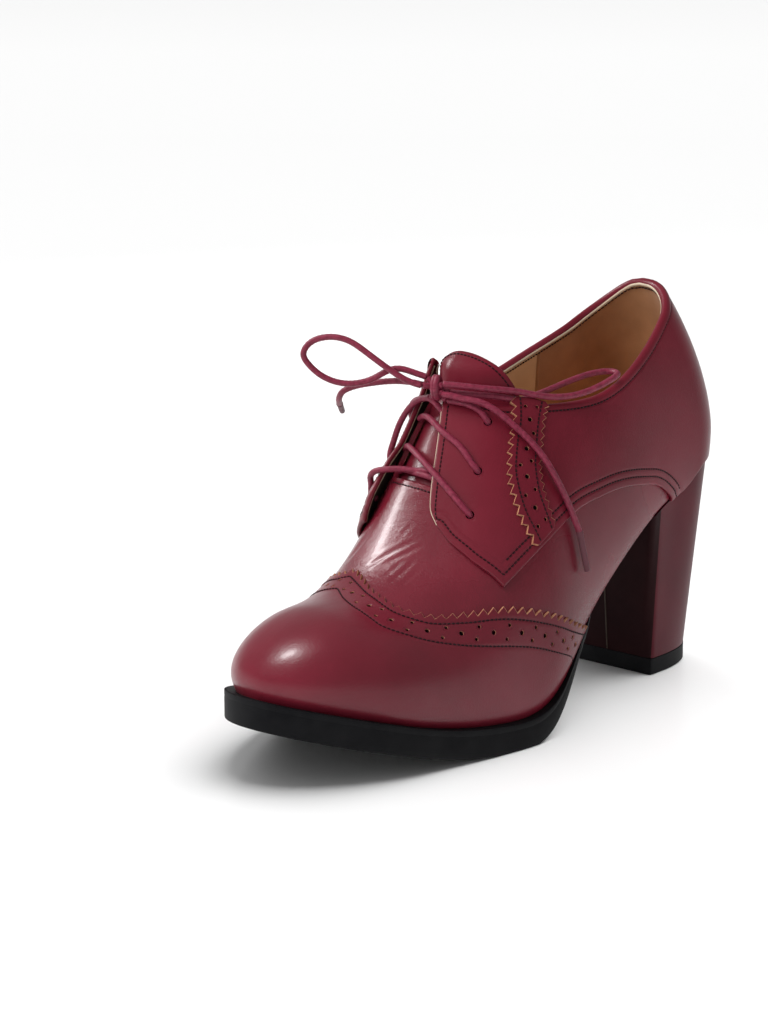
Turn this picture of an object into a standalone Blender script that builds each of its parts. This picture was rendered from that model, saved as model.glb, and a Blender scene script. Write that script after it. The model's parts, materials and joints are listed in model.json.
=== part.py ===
"""Heeled lace-up shoe for the left foot, standing empty on its sole.

The shape comes from one last: a row of superelliptic sections from toe to heel. Sizes are millimetres in
shoe coordinates: x towards the outer (lateral) side, station s from the toe back to the heel, z up from the
floor. The model is centred over the origin, toe towards -Y, and built in metres.
"""
import math

import bmesh
import bpy
import numpy as np

MM = 0.001
GAP = 0.3
LATERAL, MEDIAL = 1, -1

# Last
LENGTH = 240.0
LAST_COLUMNS = ("station", "feather", "girth", "crest", "medial", "lateral", "crest_x", "fullness")
LAST_ROWS = (
    (0, 30.5, 6.0, 46, 34.0, 36.0, 0.0, 1.8),
    (28, 22.5, 7.5, 54, 33.5, 37.5, -0.5, 2.1),
    (56, 15.0, 11.0, 56, 37.5, 43.0, -2.5, 2.1),
    (84, 11.0, 12.5, 77, 37.5, 50.5, -6.0, 2.0),
    (110, 14.0, 14.0, 119, 29.0, 55.0, -9.0, 1.9),
    (140, 35.5, 15.5, 145, 25.5, 47.0, -7.0, 1.9),
    (170, 57.0, 17.5, 158, 27.0, 39.5, -3.5, 2.0),
    (202, 74.0, 18.0, 164, 29.5, 34.5, -1.0, 1.9),
    (240, 81.0, 18.0, 168, 30.0, 33.0, 0.0, 1.8),
)
TOE_ROUND, TOE_POWER = 47.0, 1.9
HEEL_ROUND, HEEL_POWER = 23.0, 2.2
CREST_ROUND, CREST_POWER = 24.0, 2.2
BACK_LEAN, BACK_HEIGHT, LEAN_START, LEAN_POWER = 15.0, 69.0, 144.0, 1.5
TUCK, TUCK_ANGLE = 2.0, 1.2
# Reach kept off the crest and the girth line where a normal is taken, and the steps it is taken over
REACH_LIMITS = (0.004, 0.992)
NORMAL_STEP_S, NORMAL_STEP_Q = 0.05, 0.002

# Upper
WALL = 1.8
COLLAR_COLUMNS = ("station", "height")
COLLAR_ROWS = (
    (110, 118.5), (134, 118.3), (158, 119.8), (182, 127.5), (206, 139.0), (226, 149.0), (240, 155.0),
)
# The throat's edge, by turn from the toe (0) to the back (1)
OPENING_COLUMNS = ("turn", "s_lateral", "q_lateral", "s_medial", "q_medial")
OPENING_ROWS = (
    (0.00, 91.0, 0.00, 91.0, 0.00),
    (0.08, 91.3, 0.11, 91.8, 0.17),
    (0.14, 93.5, 0.19, 95.0, 0.32),
    (0.22, 99.0, 0.18, 101.0, 0.37),
    (0.31, 105.0, 0.15, 108.0, 0.36),
    (0.39, 111.0, 0.12, 115.0, 0.33),
)
COLLAR_TURN, UPRIGHT_TURN = 0.39, 0.54
RIBS, WALL_ROWS, TUCK_ROWS = 36, 11, 3

# Facings: edges in station and reach across the last
FACING_THICK, FACING_GAP = 1.5, 0.7
FACING_COLUMNS = ("edge", "along", "s_lateral", "q_lateral", "s_medial", "q_medial")
FACING_ROWS = (
    ("front", 0.0, 88.6, 0.29, 91.0, 0.47),
    ("front", 0.2, 91.6, 0.19, 95.0, 0.37),
    ("front", 0.5, 99.5, 0.15, 103.0, 0.35),
    ("front", 1.0, 110.6, 0.10, 115.0, 0.31),
    ("lower", 0.0, 88.6, 0.29, 91.0, 0.47),
    ("lower", 0.3, 87.9, 0.58, 90.5, 0.65),
    ("lower", 0.6, 93.0, 0.82, 95.0, 0.84),
    ("lower", 1.0, 111.5, 0.86, 112.0, 0.89),
    ("rear", 0.0, 111.5, 0.86, 112.0, 0.89),
    ("rear", 0.2, 116.2, 0.85, 116.5, 0.88),
    ("rear", 0.6, 124.4, 0.73, 124.4, 0.77),
    ("rear", 1.0, 132.3, 0.61, 132.3, 0.66),
)
FACING_GRID = (15, 12)
FACING_UNDER_CREST = 0.4
EDGE_SAMPLES = 60
HOLE_COLUMNS = ("s_lateral", "q_lateral", "s_medial", "q_medial")
HOLE_ROWS = (
    (94.4, 0.50, 97.0, 0.62),
    (102.6, 0.44, 105.0, 0.58),
    (113.3, 0.38, 115.0, 0.54),
)
HOLE_RADIUS, HOLE_REACH, HOLE_SIDES = 1.9, 5.0, 12

# Tongue: reach to each side by station; it lies under the upper and flares above the collar
TONGUE_COLUMNS = ("station", "q_lateral", "q_medial")
TONGUE_ROWS = (
    (80, 0.36, 0.50),
    (92, 0.40, 0.62),
    (106, 0.42, 0.70),
    (123, 0.46, 0.68),
)
TONGUE_THICK, TONGUE_DEPTH = 2.0, 2.9
TONGUE_FLARE, FLARE_START, FLARE_RISE = 6.5, 2.0, 11.0
TONGUE_GRID = (13, 14)

# Sole and heel
RIM = 3.0
RIM_FADE = (91.0, 158.0)
SOLE_THICK, WAIST_THICK = 11.45, 3.0
THIN_FROM, THIN_TO = 96.0, 144.0
SOLE_EDGE, SOLE_NARROWEST = 1.2, 12.0
INSOLE_INSET, INSOLE_LIFT, INSOLE_THICK = 2.4, 0.2, 2.0
BREAST_TOP, BREAST_FOOT = 189.3, 199.5
HEEL_HALF_WIDTH, HEEL_DEPTH, HEEL_POWER_FOOT = 25.5, 36.5, 2.6
SEAT_LIP, SEAT_GAP, SEAT_RIBS = 0.4, 0.4, 240
LIFT_HEIGHT = 7.0
HEEL_LEVELS, HEEL_SIDE_POINTS = 7, 13

# Lace
LACE = 2.8
AGLET_RADIUS, AGLET_GAP = 1.2, 0.5
LACE_SIDES, CORD_BEVEL = 8, 2
CORD_SPACING = 2.5 * LACE
ROUTE_SAMPLES = 400
PARALLEL = 0.1
KNOT_CENTRE = (-7.5, 105.5, 125.8)
KNOT_HALF = (3.6, 3.4, 4.8)
KNOT_SEGMENTS = (12, 8)
# Routes of the free lace, in x, station and height
LOOP_LATERAL_ROUTE = (
    (-3.4, 104.0, 127.7), (2.5, 107.0, 127.4), (9.0, 111.0, 126.8), (18.0, 123.2, 124.8),
    (22.5, 130.0, 123.0), (28.0, 142.3, 122.2), (31.5, 152.5, 124.4), (33.0, 159.5, 126.8),
    (31.5, 165.0, 128.2), (27.5, 166.0, 128.4), (23.8, 161.0, 128.0), (21.2, 153.5, 126.6),
    (19.0, 145.5, 124.6), (17.5, 138.0, 122.8), (17.0, 131.0, 121.8), (16.6, 124.5, 121.4),
    (13.2, 117.6, 123.0), (7.5, 112.7, 123.7), (1.5, 109.8, 124.0), (-3.4, 108.3, 124.0),
)
LOOP_MEDIAL_ROUTE = (
    (-11.8, 105.2, 129.2), (-16.8, 102.2, 131.0), (-21.9, 99.6, 132.0), (-27.0, 97.0, 130.0),
    (-30.0, 95.4, 128.0), (-35.4, 92.6, 125.9), (-40.6, 90.0, 125.5), (-48.9, 86.0, 128.3),
    (-53.2, 83.9, 132.3), (-54.9, 83.1, 135.6), (-53.1, 83.9, 139.7), (-48.4, 86.0, 142.4),
    (-43.0, 88.2, 143.0), (-37.6, 90.2, 141.8), (-31.8, 92.0, 138.6), (-26.0, 94.0, 134.7),
    (-20.9, 96.2, 131.2), (-16.4, 99.0, 128.2), (-11.6, 102.0, 126.4),
)
END_LATERAL_ROUTE = (
    (-3.4, 104.0, 123.9), (0.5, 104.6, 123.7), (4.9, 106.0, 123.0), (10.0, 107.8, 122.4),
    (14.6, 110.0, 120.6), (19.4, 112.8, 116.8), (25.4, 115.4, 111.6), (30.4, 118.0, 106.2),
    (35.8, 121.4, 97.1), (39.2, 126.2, 85.4), (41.8, 130.4, 73.4),
)
END_MEDIAL_ROUTE = (
    (-11.6, 106.0, 125.6), (-18.2, 104.2, 126.6), (-27.6, 100.9, 126.4), (-34.9, 98.2, 125.1),
    (-42.2, 95.6, 123.0), (-45.6, 94.8, 121.1), (-48.2, 95.8, 118.8), (-51.4, 98.8, 116.4),
    (-55.0, 103.0, 114.2),
)
AGLET_LATERAL_TIP = (43.6, 133.0, 58.8)
AGLET_MEDIAL_TIP = (-65.6, 115.6, 108.4)
TOP_STRAND_LATERAL = ((5.5, 108.6, 120.4), (-3.4, 106.8, 121.2))
TOP_STRAND_MEDIAL = ((-19.5, 109.4, 119.4), (-11.8, 107.2, 121.4))
BAR_STATION, BAR_SLANT = 94.0, 1.0
LACE_GAP, OVER_THROAT, UNDER_EDGE = 0.4, 1.4, 0.9
# How far short of the far facing's edge a strand stops, in reach
EDGE_CLEAR_LATERAL, EDGE_CLEAR_MEDIAL = 0.07, 0.12
# Part of the way to the next hole up at which a strand leaves the hole and passes its facing's edge
LEAVE_ALONG, EDGE_ALONG = 0.20, 0.35
MID_REACH = 0.02
OVER_FACING = FACING_GAP + FACING_THICK + LACE_GAP + LACE / 2
BAR_OVER = LACE_GAP + LACE / 2 - TONGUE_DEPTH

COLOURS = {
    "leather": ((0.105, 0.012, 0.020), 0.32),
    "heel_cover": ((0.075, 0.010, 0.016), 0.40),
    "rubber": ((0.008, 0.008, 0.009), 0.45),
    "lining": ((0.360, 0.230, 0.110), 0.70),
    "lace": ((0.130, 0.018, 0.032), 0.55),
    "aglet": ((0.040, 0.008, 0.012), 0.30),
}


def columns(names, rows):
    """Table rows as named arrays."""
    return {name: np.array([row[i] for row in rows], float) for i, name in enumerate(names)}


def spline(xs, ys):
    """Natural cubic spline through a short table."""
    xs = np.asarray(xs, float)
    ys = np.asarray(ys, float)
    count = len(xs)
    step = np.diff(xs)
    slope = np.diff(ys) / step
    system = np.eye(count)
    target = np.zeros(count)
    for i in range(1, count - 1):
        system[i, i - 1:i + 2] = step[i - 1], 2 * (step[i - 1] + step[i]), step[i]
        target[i] = 6 * (slope[i] - slope[i - 1])
    bend = np.linalg.solve(system, target)

    def value(x):
        x = np.asarray(x, float)
        i = np.clip(np.searchsorted(xs, x) - 1, 0, count - 2)
        t = x - xs[i]
        first = slope[i] - step[i] * (2 * bend[i] + bend[i + 1]) / 6
        return ys[i] + t * first + t**2 * bend[i] / 2 + t**3 * (bend[i + 1] - bend[i]) / (6 * step[i])

    return value


def smooth_step(t):
    t = np.clip(t, 0, 1)
    return t * t * (3 - 2 * t)


def end_round(distance, radius, power):
    """Growth from 0 at a rounded end to 1 one radius in."""
    left = np.clip(1 - np.asarray(distance, float) / radius, 0, 1)
    return np.maximum(0, 1 - left**power) ** (1 / power)


last_table = columns(LAST_COLUMNS, LAST_ROWS)
LAST = {name: spline(last_table["station"], last_table[name]) for name in LAST_COLUMNS[1:]}
collar_table = columns(COLLAR_COLUMNS, COLLAR_ROWS)
collar_height = spline(collar_table["station"], collar_table["height"])


def half_width(s, side):
    table = LAST["lateral"] if side > 0 else LAST["medial"]
    return table(s) * end_round(s, TOE_ROUND, TOE_POWER) * end_round(LENGTH - s, HEEL_ROUND, HEEL_POWER)


def girth_line(s):
    return LAST["feather"](s) + LAST["girth"](s)


def crest_rise(s):
    return (LAST["crest"](s) - girth_line(s)) * end_round(s, CREST_ROUND, CREST_POWER)


def leaned(s, z):
    """Station of a wall point: the back leans forward above the girth line."""
    blend = smooth_step((s - LEAN_START) / (LENGTH - LEAN_START))
    rise = np.clip((z - girth_line(s)) / (BACK_HEIGHT - LAST["girth"](s)), 0, 2)
    return s - BACK_LEAN * blend * rise**LEAN_POWER


def skin(s, side, q):
    """Point of the last's skin at a station and a reach q from the crest (0) to the girth line (1)."""
    s = np.asarray(s, float)
    q = np.clip(np.asarray(q, float), 0, 1)
    power = LAST["fullness"](s)
    x = LAST["crest_x"](s) + side * half_width(s, side) * q
    z = girth_line(s) + crest_rise(s) * np.maximum(0, 1 - q**power) ** (1 / power)
    return np.stack(np.broadcast_arrays(x, leaned(s, z), z), -1)


def reach_at(s, z):
    """Reach q at which the skin has height z."""
    power = LAST["fullness"](s)
    rise = np.clip((z - girth_line(s)) / crest_rise(s), 0, 1)
    return np.maximum(0, 1 - rise**power) ** (1 / power)


def offset_skin(s, side, q, height):
    """Skin moved out along its normal."""
    s = np.asarray(s, float)
    q = np.clip(np.asarray(q, float), *REACH_LIMITS)
    along = skin(s + NORMAL_STEP_S, side, q) - skin(s - NORMAL_STEP_S, side, q)
    down = skin(s, side, q + NORMAL_STEP_Q) - skin(s, side, q - NORMAL_STEP_Q)
    normal = np.cross(down, along) * side
    normal /= np.linalg.norm(normal, axis=-1)[..., None]
    return skin(s, side, q) + normal * np.asarray(height, float)[..., None]


def girth_station(turn):
    return LENGTH * (1 - np.cos(np.pi * np.asarray(turn, float))) / 2


def outline(turns, side):
    """Plan points of the girth line."""
    s = girth_station(turns)
    return np.stack([LAST["crest_x"](s) + side * half_width(s, side), s], -1)


def plan_loop(count):
    """Girth line as a loop: toe, lateral side, back, medial side."""
    turns = np.linspace(0, 1, count + 1)
    return np.concatenate([outline(turns, LATERAL), outline(turns[1:-1][::-1], MEDIAL)])


def outward(loop):
    tangent = np.roll(loop, -1, 0) - np.roll(loop, 1, 0)
    normal = np.stack([tangent[:, 1], -tangent[:, 0]], -1)
    return normal / np.linalg.norm(normal, axis=1)[:, None]


def feather_loop(count, grow=0.0):
    """Plan loop of the feather edge, moved out by grow (a number or one value for each point)."""
    loop = plan_loop(count)
    return loop + outward(loop) * (np.asarray(grow, float) - TUCK)[..., None]


def sole_rim(count):
    """Plan loop of the outsole: past the upper at the forefoot, level with the feather edge at the waist."""
    station = plan_loop(count)[:, 1]
    fade = smooth_step((RIM_FADE[1] - station) / (RIM_FADE[1] - RIM_FADE[0]))
    return feather_loop(count, (RIM + TUCK) * fade)


rim_points = sole_rim(RIBS)
SHIFT = np.array([
    (rim_points[:, 0].min() + rim_points[:, 0].max()) / 2,
    (rim_points[:, 1].min() + LENGTH) / 2,
    0.0,
])


def to_model(points):
    """Shoe millimetres to model metres."""
    return (np.asarray(points, float) - SHIFT) * MM


def clear_scene():
    for item in list(bpy.data.objects):
        bpy.data.objects.remove(item, do_unlink=True)


def make_material(name):
    colour, roughness = COLOURS[name]
    material = bpy.data.materials.new(name)
    material.use_nodes = True
    shader = material.node_tree.nodes["Principled BSDF"]
    shader.inputs["Base Color"].default_value = (*colour, 1.0)
    shader.inputs["Roughness"].default_value = roughness
    shader.inputs["Metallic"].default_value = 0.0
    return material


def add_object(name, mesh, collection, material=None):
    item = bpy.data.objects.new(name, mesh)
    collection.objects.link(item)
    if material:
        mesh.materials.append(material)
    return item


def grid_mesh(name, points, closed=False):
    """Quads over a grid of points, wrapped round along its second axis if closed."""
    rows, count = points.shape[:2]
    build = bmesh.new()
    verts = [[build.verts.new(p) for p in row] for row in to_model(points)]
    for i in range(rows - 1):
        for j in range(count if closed else count - 1):
            k = (j + 1) % count
            build.faces.new((verts[i][j], verts[i][k], verts[i + 1][k], verts[i + 1][j]))
    mesh = bpy.data.meshes.new(name)
    build.to_mesh(mesh)
    build.free()
    mesh.shade_smooth()
    return mesh


def ring_solid(name, rings):
    """Closed solid through rings of equal count, its ends closed by rungs across from point 0."""
    rings = np.asarray(rings, float)
    levels, count = rings.shape[:2]
    build = bmesh.new()
    verts = [[build.verts.new(p) for p in ring] for ring in to_model(rings)]
    for i in range(levels - 1):
        for j in range(count):
            k = (j + 1) % count
            build.faces.new((verts[i][j], verts[i][k], verts[i + 1][k], verts[i + 1][j]))
    for ring in (verts[0], verts[-1]):
        for j in range((count + 1) // 2):
            rung = (ring[j], ring[j + 1], ring[count - j - 1], ring[(count - j) % count])
            corners = list(dict.fromkeys(rung))
            if len(corners) > 2:
                build.faces.new(corners)
    bmesh.ops.recalc_face_normals(build, faces=build.faces)
    mesh = bpy.data.meshes.new(name)
    build.to_mesh(mesh)
    build.free()
    return mesh


def tube_mesh(name, route, radius, sides):
    """Closed round tube along a route, its frame carried along without twist."""
    tangent = np.gradient(route, axis=0)
    tangent /= np.linalg.norm(tangent, axis=1)[:, None]
    side_axis = np.cross(tangent[0], (0.0, 0.0, 1.0))
    if np.linalg.norm(side_axis) < PARALLEL:
        side_axis = np.cross(tangent[0], (1.0, 0.0, 0.0))
    angles = np.linspace(0, 2 * np.pi, sides, endpoint=False)
    rings = []
    for centre, direction in zip(route, tangent):
        side_axis = side_axis - direction * (side_axis @ direction)
        side_axis /= np.linalg.norm(side_axis)
        up_axis = np.cross(direction, side_axis)
        ring = centre + radius * (np.cos(angles)[:, None] * side_axis + np.sin(angles)[:, None] * up_axis)
        rings.append(ring)
    return ring_solid(name, rings)


def thicken(item, thickness, direction):
    solid = item.modifiers.new("Wall", "SOLIDIFY")
    solid.thickness = thickness * MM
    solid.offset = direction
    solid.use_quality_normals = True


def opening_point(turn, side):
    """Station and reach of the throat and collar edge."""
    table = columns(OPENING_COLUMNS, OPENING_ROWS)
    label = "lateral" if side > 0 else "medial"
    corner = table["s_" + label][-1]
    if turn <= COLLAR_TURN:
        s = float(np.interp(turn, table["turn"], table["s_" + label]))
        q = float(np.interp(turn, table["turn"], table["q_" + label]))
        return s, q
    s = float(girth_station(turn))
    if turn < UPRIGHT_TURN:
        upright = float(girth_station(UPRIGHT_TURN))
        s = float(np.interp(turn, (COLLAR_TURN, UPRIGHT_TURN), (corner, upright)))
    return s, float(reach_at(s, collar_height(s)))


def upper_rib(turn, side):
    """Points of one rib of the upper, from the girth line to its edge."""
    rho = 1 - np.cos(np.linspace(0, np.pi / 2, WALL_ROWS))
    foot_s = float(girth_station(turn))
    edge_s, edge_q = opening_point(turn, side)
    s = foot_s + (edge_s - foot_s) * rho
    if turn >= UPRIGHT_TURN:
        return skin(s, side, 1 - (1 - edge_q) * rho)
    foot_x = outline(turn, side)[0]
    edge_x = float(skin(edge_s, side, edge_q)[0])
    x = foot_x + (edge_x - foot_x) * rho
    width = np.maximum(half_width(s, side), 1e-6)
    q = np.abs(x - LAST["crest_x"](s)) / width
    q[0] = 1.0
    return skin(s, side, q)


def build_upper(collection, material):
    turns = np.linspace(0, 1, RIBS + 1)
    ribs = [upper_rib(t, LATERAL) for t in turns] + [upper_rib(t, MEDIAL) for t in turns[1:-1][::-1]]
    wall_rows = np.stack(ribs, 1)
    loop = plan_loop(RIBS)
    normal = outward(loop)
    tuck_rows = []
    for angle in np.linspace(TUCK_ANGLE, 0, TUCK_ROWS + 1)[:-1]:
        inward = TUCK * (1 - math.cos(angle)) / (1 - math.cos(TUCK_ANGLE))
        drop = LAST["girth"](loop[:, 1]) * math.sin(angle) / math.sin(TUCK_ANGLE)
        plan = loop - normal * inward
        tuck_rows.append(np.column_stack([plan, girth_line(loop[:, 1]) - drop]))
    rows = np.concatenate([np.stack(tuck_rows), wall_rows])
    upper = add_object("upper", grid_mesh("upper", rows, closed=True), collection, material)
    thicken(upper, WALL, -1)
    return upper


def edge_curve(edge, label):
    """One edge of a facing as (station, reach) by the distance along it."""
    rows = [row for row in FACING_ROWS if row[0] == edge]
    table = columns(FACING_COLUMNS[1:], [row[1:] for row in rows])

    def value(t):
        s = np.interp(t, table["along"], table["s_" + label])
        q = np.interp(t, table["along"], table["q_" + label])
        return np.stack([s, q], -1)

    return value


def build_facing(side, collection, material):
    """Facing: a patch blended from its four edges, laid over the upper."""
    label = "lateral" if side > 0 else "medial"
    front, lower, rear = (edge_curve(edge, label) for edge in ("front", "lower", "rear"))
    u, v = np.meshgrid(np.linspace(0, 1, FACING_GRID[0]), np.linspace(0, 1, FACING_GRID[1]))
    top_s = front(1.0)[0] + (rear(1.0)[0] - front(1.0)[0]) * u
    top_z = np.minimum(collar_height(top_s), LAST["crest"](top_s) - FACING_UNDER_CREST)
    top_q = reach_at(top_s, top_z)
    top = np.stack([top_s, top_q], -1)
    corner_front, corner_rear = front(0.0), rear(0.0)
    top_front, top_rear = top[0, 0], top[0, -1]
    blend = (1 - v)[..., None] * lower(u) + v[..., None] * top
    blend += (1 - u)[..., None] * front(v) + u[..., None] * rear(v)
    corner_low = (1 - u)[..., None] * corner_front + u[..., None] * corner_rear
    corner_top = (1 - u)[..., None] * top_front + u[..., None] * top_rear
    patch = blend - (1 - v)[..., None] * corner_low - v[..., None] * corner_top
    points = offset_skin(patch[..., 0], side, patch[..., 1], np.full(u.shape, FACING_GAP))
    if side < 0:
        points = points[:, ::-1]
    name = "facing_" + label
    facing = add_object(name, grid_mesh(name, points), collection, material)
    thicken(facing, FACING_THICK, 1)
    return facing


def lace_holes(side):
    table = columns(HOLE_COLUMNS, HOLE_ROWS)
    label = "lateral" if side > 0 else "medial"
    return list(zip(table["s_" + label], table["q_" + label]))


def cut_lace_holes(side, targets, collection):
    """Round holes through the facing and the upper, square to the last."""
    label = "lateral" if side > 0 else "medial"
    for number, (s, q) in enumerate(lace_holes(side), start=1):
        axis = np.stack([offset_skin(s, side, q, -HOLE_REACH), offset_skin(s, side, q, HOLE_REACH)])
        name = "hole_%s_%d" % (label, number)
        cutter = add_object(name, tube_mesh(name, axis, HOLE_RADIUS, HOLE_SIDES), collection)
        cutter.hide_render = True
        cutter.display_type = "WIRE"
        for target in targets:
            cut = target.modifiers.new(name, "BOOLEAN")
            cut.operation = "DIFFERENCE"
            cut.solver = "EXACT"
            cut.object = cutter


def tongue_point(s, across, table):
    """Inner face of the tongue at a station, across from the lateral edge (1) to the medial edge (-1)."""
    side = LATERAL if across >= 0 else MEDIAL
    reach = table["q_lateral"] if across >= 0 else table["q_medial"]
    q = abs(across) * float(np.interp(s, table["station"], reach))
    height = float(skin(s, side, q)[2])
    above = (height - float(collar_height(s)) - FLARE_START) / FLARE_RISE
    return offset_skin(s, side, q, TONGUE_FLARE * smooth_step(above) - TONGUE_DEPTH - TONGUE_THICK)


def build_tongue(collection, material):
    table = columns(TONGUE_COLUMNS, TONGUE_ROWS)
    stations = np.linspace(table["station"][0], table["station"][-1], TONGUE_GRID[1])
    across = np.linspace(-1, 1, TONGUE_GRID[0])
    points = np.array([[tongue_point(s, c, table) for c in across] for s in stations])
    tongue = add_object("tongue", grid_mesh("tongue", points), collection, material)
    thicken(tongue, TONGUE_THICK, 1)
    return tongue


def cut_loop(loop, end):
    """Toe part of a plan loop, cut straight across at a station: lateral end to medial end round the toe."""
    count = len(loop) // 2
    lateral = loop[:count + 1]
    medial = np.concatenate([loop[:1], loop[count:][::-1]])
    sides = []
    for line in (lateral, medial):
        keep = line[line[:, 1] < end]
        edge_x = np.interp(end, line[:, 1], line[:, 0])
        sides.append(np.concatenate([keep, [(edge_x, end)]]))
    size = min(len(sides[0]), len(sides[1])) - 1
    lateral, medial = (np.concatenate([line[:size], line[-1:]]) for line in sides)
    return np.concatenate([lateral, medial[1:][::-1]])


def sole_thickness(s):
    return WAIST_THICK + (SOLE_THICK - WAIST_THICK) * smooth_step((THIN_TO - s) / (THIN_TO - THIN_FROM))


def build_outsole(collection, material):
    rim = cut_loop(sole_rim(RIBS), BREAST_TOP - GAP)
    s = rim[:, 1]
    centre = np.column_stack([np.full(len(rim), rim[:, 0].mean()), s])
    reach = np.maximum(np.abs(rim[:, :1] - centre[:, :1]), SOLE_NARROWEST)
    inset = rim + (centre - rim) * (SOLE_EDGE / reach)
    top = LAST["feather"](s) - GAP
    foot = np.maximum(0.0, LAST["feather"](s) - sole_thickness(s))
    edge = np.minimum(SOLE_EDGE, (top - foot) / 3)
    rings = [
        np.column_stack([inset, foot]),
        np.column_stack([rim, foot + edge]),
        np.column_stack([rim, top]),
    ]
    return add_object("outsole", ring_solid("outsole", rings), collection, material)


def build_insole(collection, material):
    loop = feather_loop(RIBS, -INSOLE_INSET)
    base = LAST["feather"](loop[:, 1]) + INSOLE_LIFT
    rings = [np.column_stack([loop, base]), np.column_stack([loop, base + INSOLE_THICK])]
    return add_object("insole", ring_solid("insole", rings), collection, material)


def heel_foot_ring(height):
    """D-shaped foot of the heel: straight breast, superelliptic back; point 0 at the middle of the back."""
    angle = np.linspace(np.pi / 2, 0, HEEL_SIDE_POINTS)
    s = BREAST_FOOT + HEEL_DEPTH * np.sin(angle) ** (2 / HEEL_POWER_FOOT)
    x = HEEL_HALF_WIDTH * np.cos(angle) ** (2 / HEEL_POWER_FOOT)
    half = np.column_stack([x, s, np.full(len(s), height)])
    mirror = half[1:][::-1] * np.array([-1.0, 1.0, 1.0])
    return np.concatenate([half, mirror])


def heel_seat_ring():
    """Top ring of the heel, under the feather edge from the breast to the back."""
    dense = feather_loop(SEAT_RIBS, SEAT_LIP)
    count = len(dense) // 2
    lines = (dense[:count + 1], np.concatenate([dense[:1], dense[count:][::-1]]))
    halves = []
    for line in lines:
        breast = (np.interp(BREAST_TOP, line[:, 1], line[:, 0]), BREAST_TOP)
        back = np.concatenate([line[line[:, 1] > BREAST_TOP][::-1], [breast]])
        length = np.concatenate([[0], np.cumsum(np.linalg.norm(np.diff(back, axis=0), axis=1))])
        along = np.linspace(0, length[-1], HEEL_SIDE_POINTS)
        halves.append(np.column_stack([np.interp(along, length, back[:, i]) for i in (0, 1)]))
    plan = np.concatenate([halves[0], halves[1][1:][::-1]])
    return np.column_stack([plan, LAST["feather"](plan[:, 1]) - SEAT_GAP])


def build_heel(collection, material):
    foot = heel_foot_ring(LIFT_HEIGHT + GAP)
    seat = heel_seat_ring()
    rings = [foot + (seat - foot) * t for t in np.linspace(0, 1, HEEL_LEVELS)]
    return add_object("heel", ring_solid("heel", rings), collection, material)


def build_heel_lift(collection, material):
    rings = [heel_foot_ring(0.0), heel_foot_ring(LIFT_HEIGHT)]
    return add_object("heel_lift", ring_solid("heel_lift", rings), collection, material)


def smooth_route(route, spacing):
    """Evenly spaced points of a smooth curve through the route's own points."""
    route = np.asarray(route, float)
    chord = np.concatenate([[0], np.cumsum(np.linalg.norm(np.diff(route, axis=0), axis=1))])
    axes = [spline(chord, route[:, i]) for i in range(3)]
    dense = np.stack([axis(np.linspace(0, chord[-1], ROUTE_SAMPLES)) for axis in axes], -1)
    length = np.concatenate([[0], np.cumsum(np.linalg.norm(np.diff(dense, axis=0), axis=1))])
    along = np.linspace(0, length[-1], max(3, int(round(length[-1] / spacing)) + 1))
    return np.stack([np.interp(along, length, dense[:, i]) for i in range(3)], -1)


def build_cord(name, route, collection, material):
    """Free stretch of lace: a round bevelled curve with filled ends."""
    points = to_model(smooth_route(route, CORD_SPACING))
    curve = bpy.data.curves.new(name, "CURVE")
    curve.dimensions = "3D"
    curve.bevel_depth = LACE / 2 * MM
    curve.bevel_resolution = CORD_BEVEL
    curve.use_fill_caps = True
    line = curve.splines.new("POLY")
    line.points.add(len(points) - 1)
    for target, point in zip(line.points, points):
        target.co = (*point, 1.0)
    cord = bpy.data.objects.new(name, curve)
    collection.objects.link(cord)
    curve.materials.append(material)
    return cord


def build_aglet(name, route, tip, collection, material):
    """Tapered sleeve on a lace's end."""
    route = np.asarray(route, float)
    tip = np.asarray(tip, float)
    direction = tip - route[-1]
    start = route[-1] + direction / np.linalg.norm(direction) * AGLET_GAP
    line = np.linspace(start, tip, 3)
    return add_object(name, tube_mesh(name, line, AGLET_RADIUS, LACE_SIDES), collection, material)


def build_knot(collection, material):
    mesh = bpy.data.meshes.new("lace_knot")
    build = bmesh.new()
    bmesh.ops.create_uvsphere(build, u_segments=KNOT_SEGMENTS[0], v_segments=KNOT_SEGMENTS[1], radius=1.0)
    for vert in build.verts:
        scaled = np.array(vert.co) * np.array(KNOT_HALF) + np.array(KNOT_CENTRE)
        vert.co = to_model(scaled)
    build.to_mesh(mesh)
    build.free()
    mesh.shade_smooth()
    return add_object("lace_knot", mesh, collection, material)


def strand(points):
    """Lace strand through (side, station, reach, height over the last) points."""
    return smooth_route([offset_skin(s, side, q, h) for side, s, q, h in points], LACE)


def throat_reach(label, s):
    value = edge_curve("front", label)(np.linspace(0, 1, EDGE_SAMPLES))
    order = np.argsort(value[:, 0])
    return float(np.interp(s, value[order, 0], value[order, 1]))


def crossing_strand(side, number):
    """From a lace hole, over its facing's edge and the throat, to the far facing's edge one hole up."""
    s0, q0 = lace_holes(side)[number]
    s1, _ = lace_holes(-side)[number + 1]
    near, far = ("lateral", "medial") if side > 0 else ("medial", "lateral")
    clear = EDGE_CLEAR_MEDIAL if side > 0 else EDGE_CLEAR_LATERAL
    leave_s, edge_s = (s0 + part * (s1 - s0) for part in (LEAVE_ALONG, EDGE_ALONG))
    near_q = throat_reach(near, edge_s)
    far_q = throat_reach(far, s1) - clear
    return strand((
        (side, s0, q0, OVER_FACING),
        (side, leave_s, (q0 + near_q) / 2, OVER_FACING),
        (side, edge_s, near_q, OVER_FACING),
        (side, (s0 + s1) / 2, MID_REACH, OVER_THROAT),
        (-side, s1, far_q, UNDER_EDGE),
    ))


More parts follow.
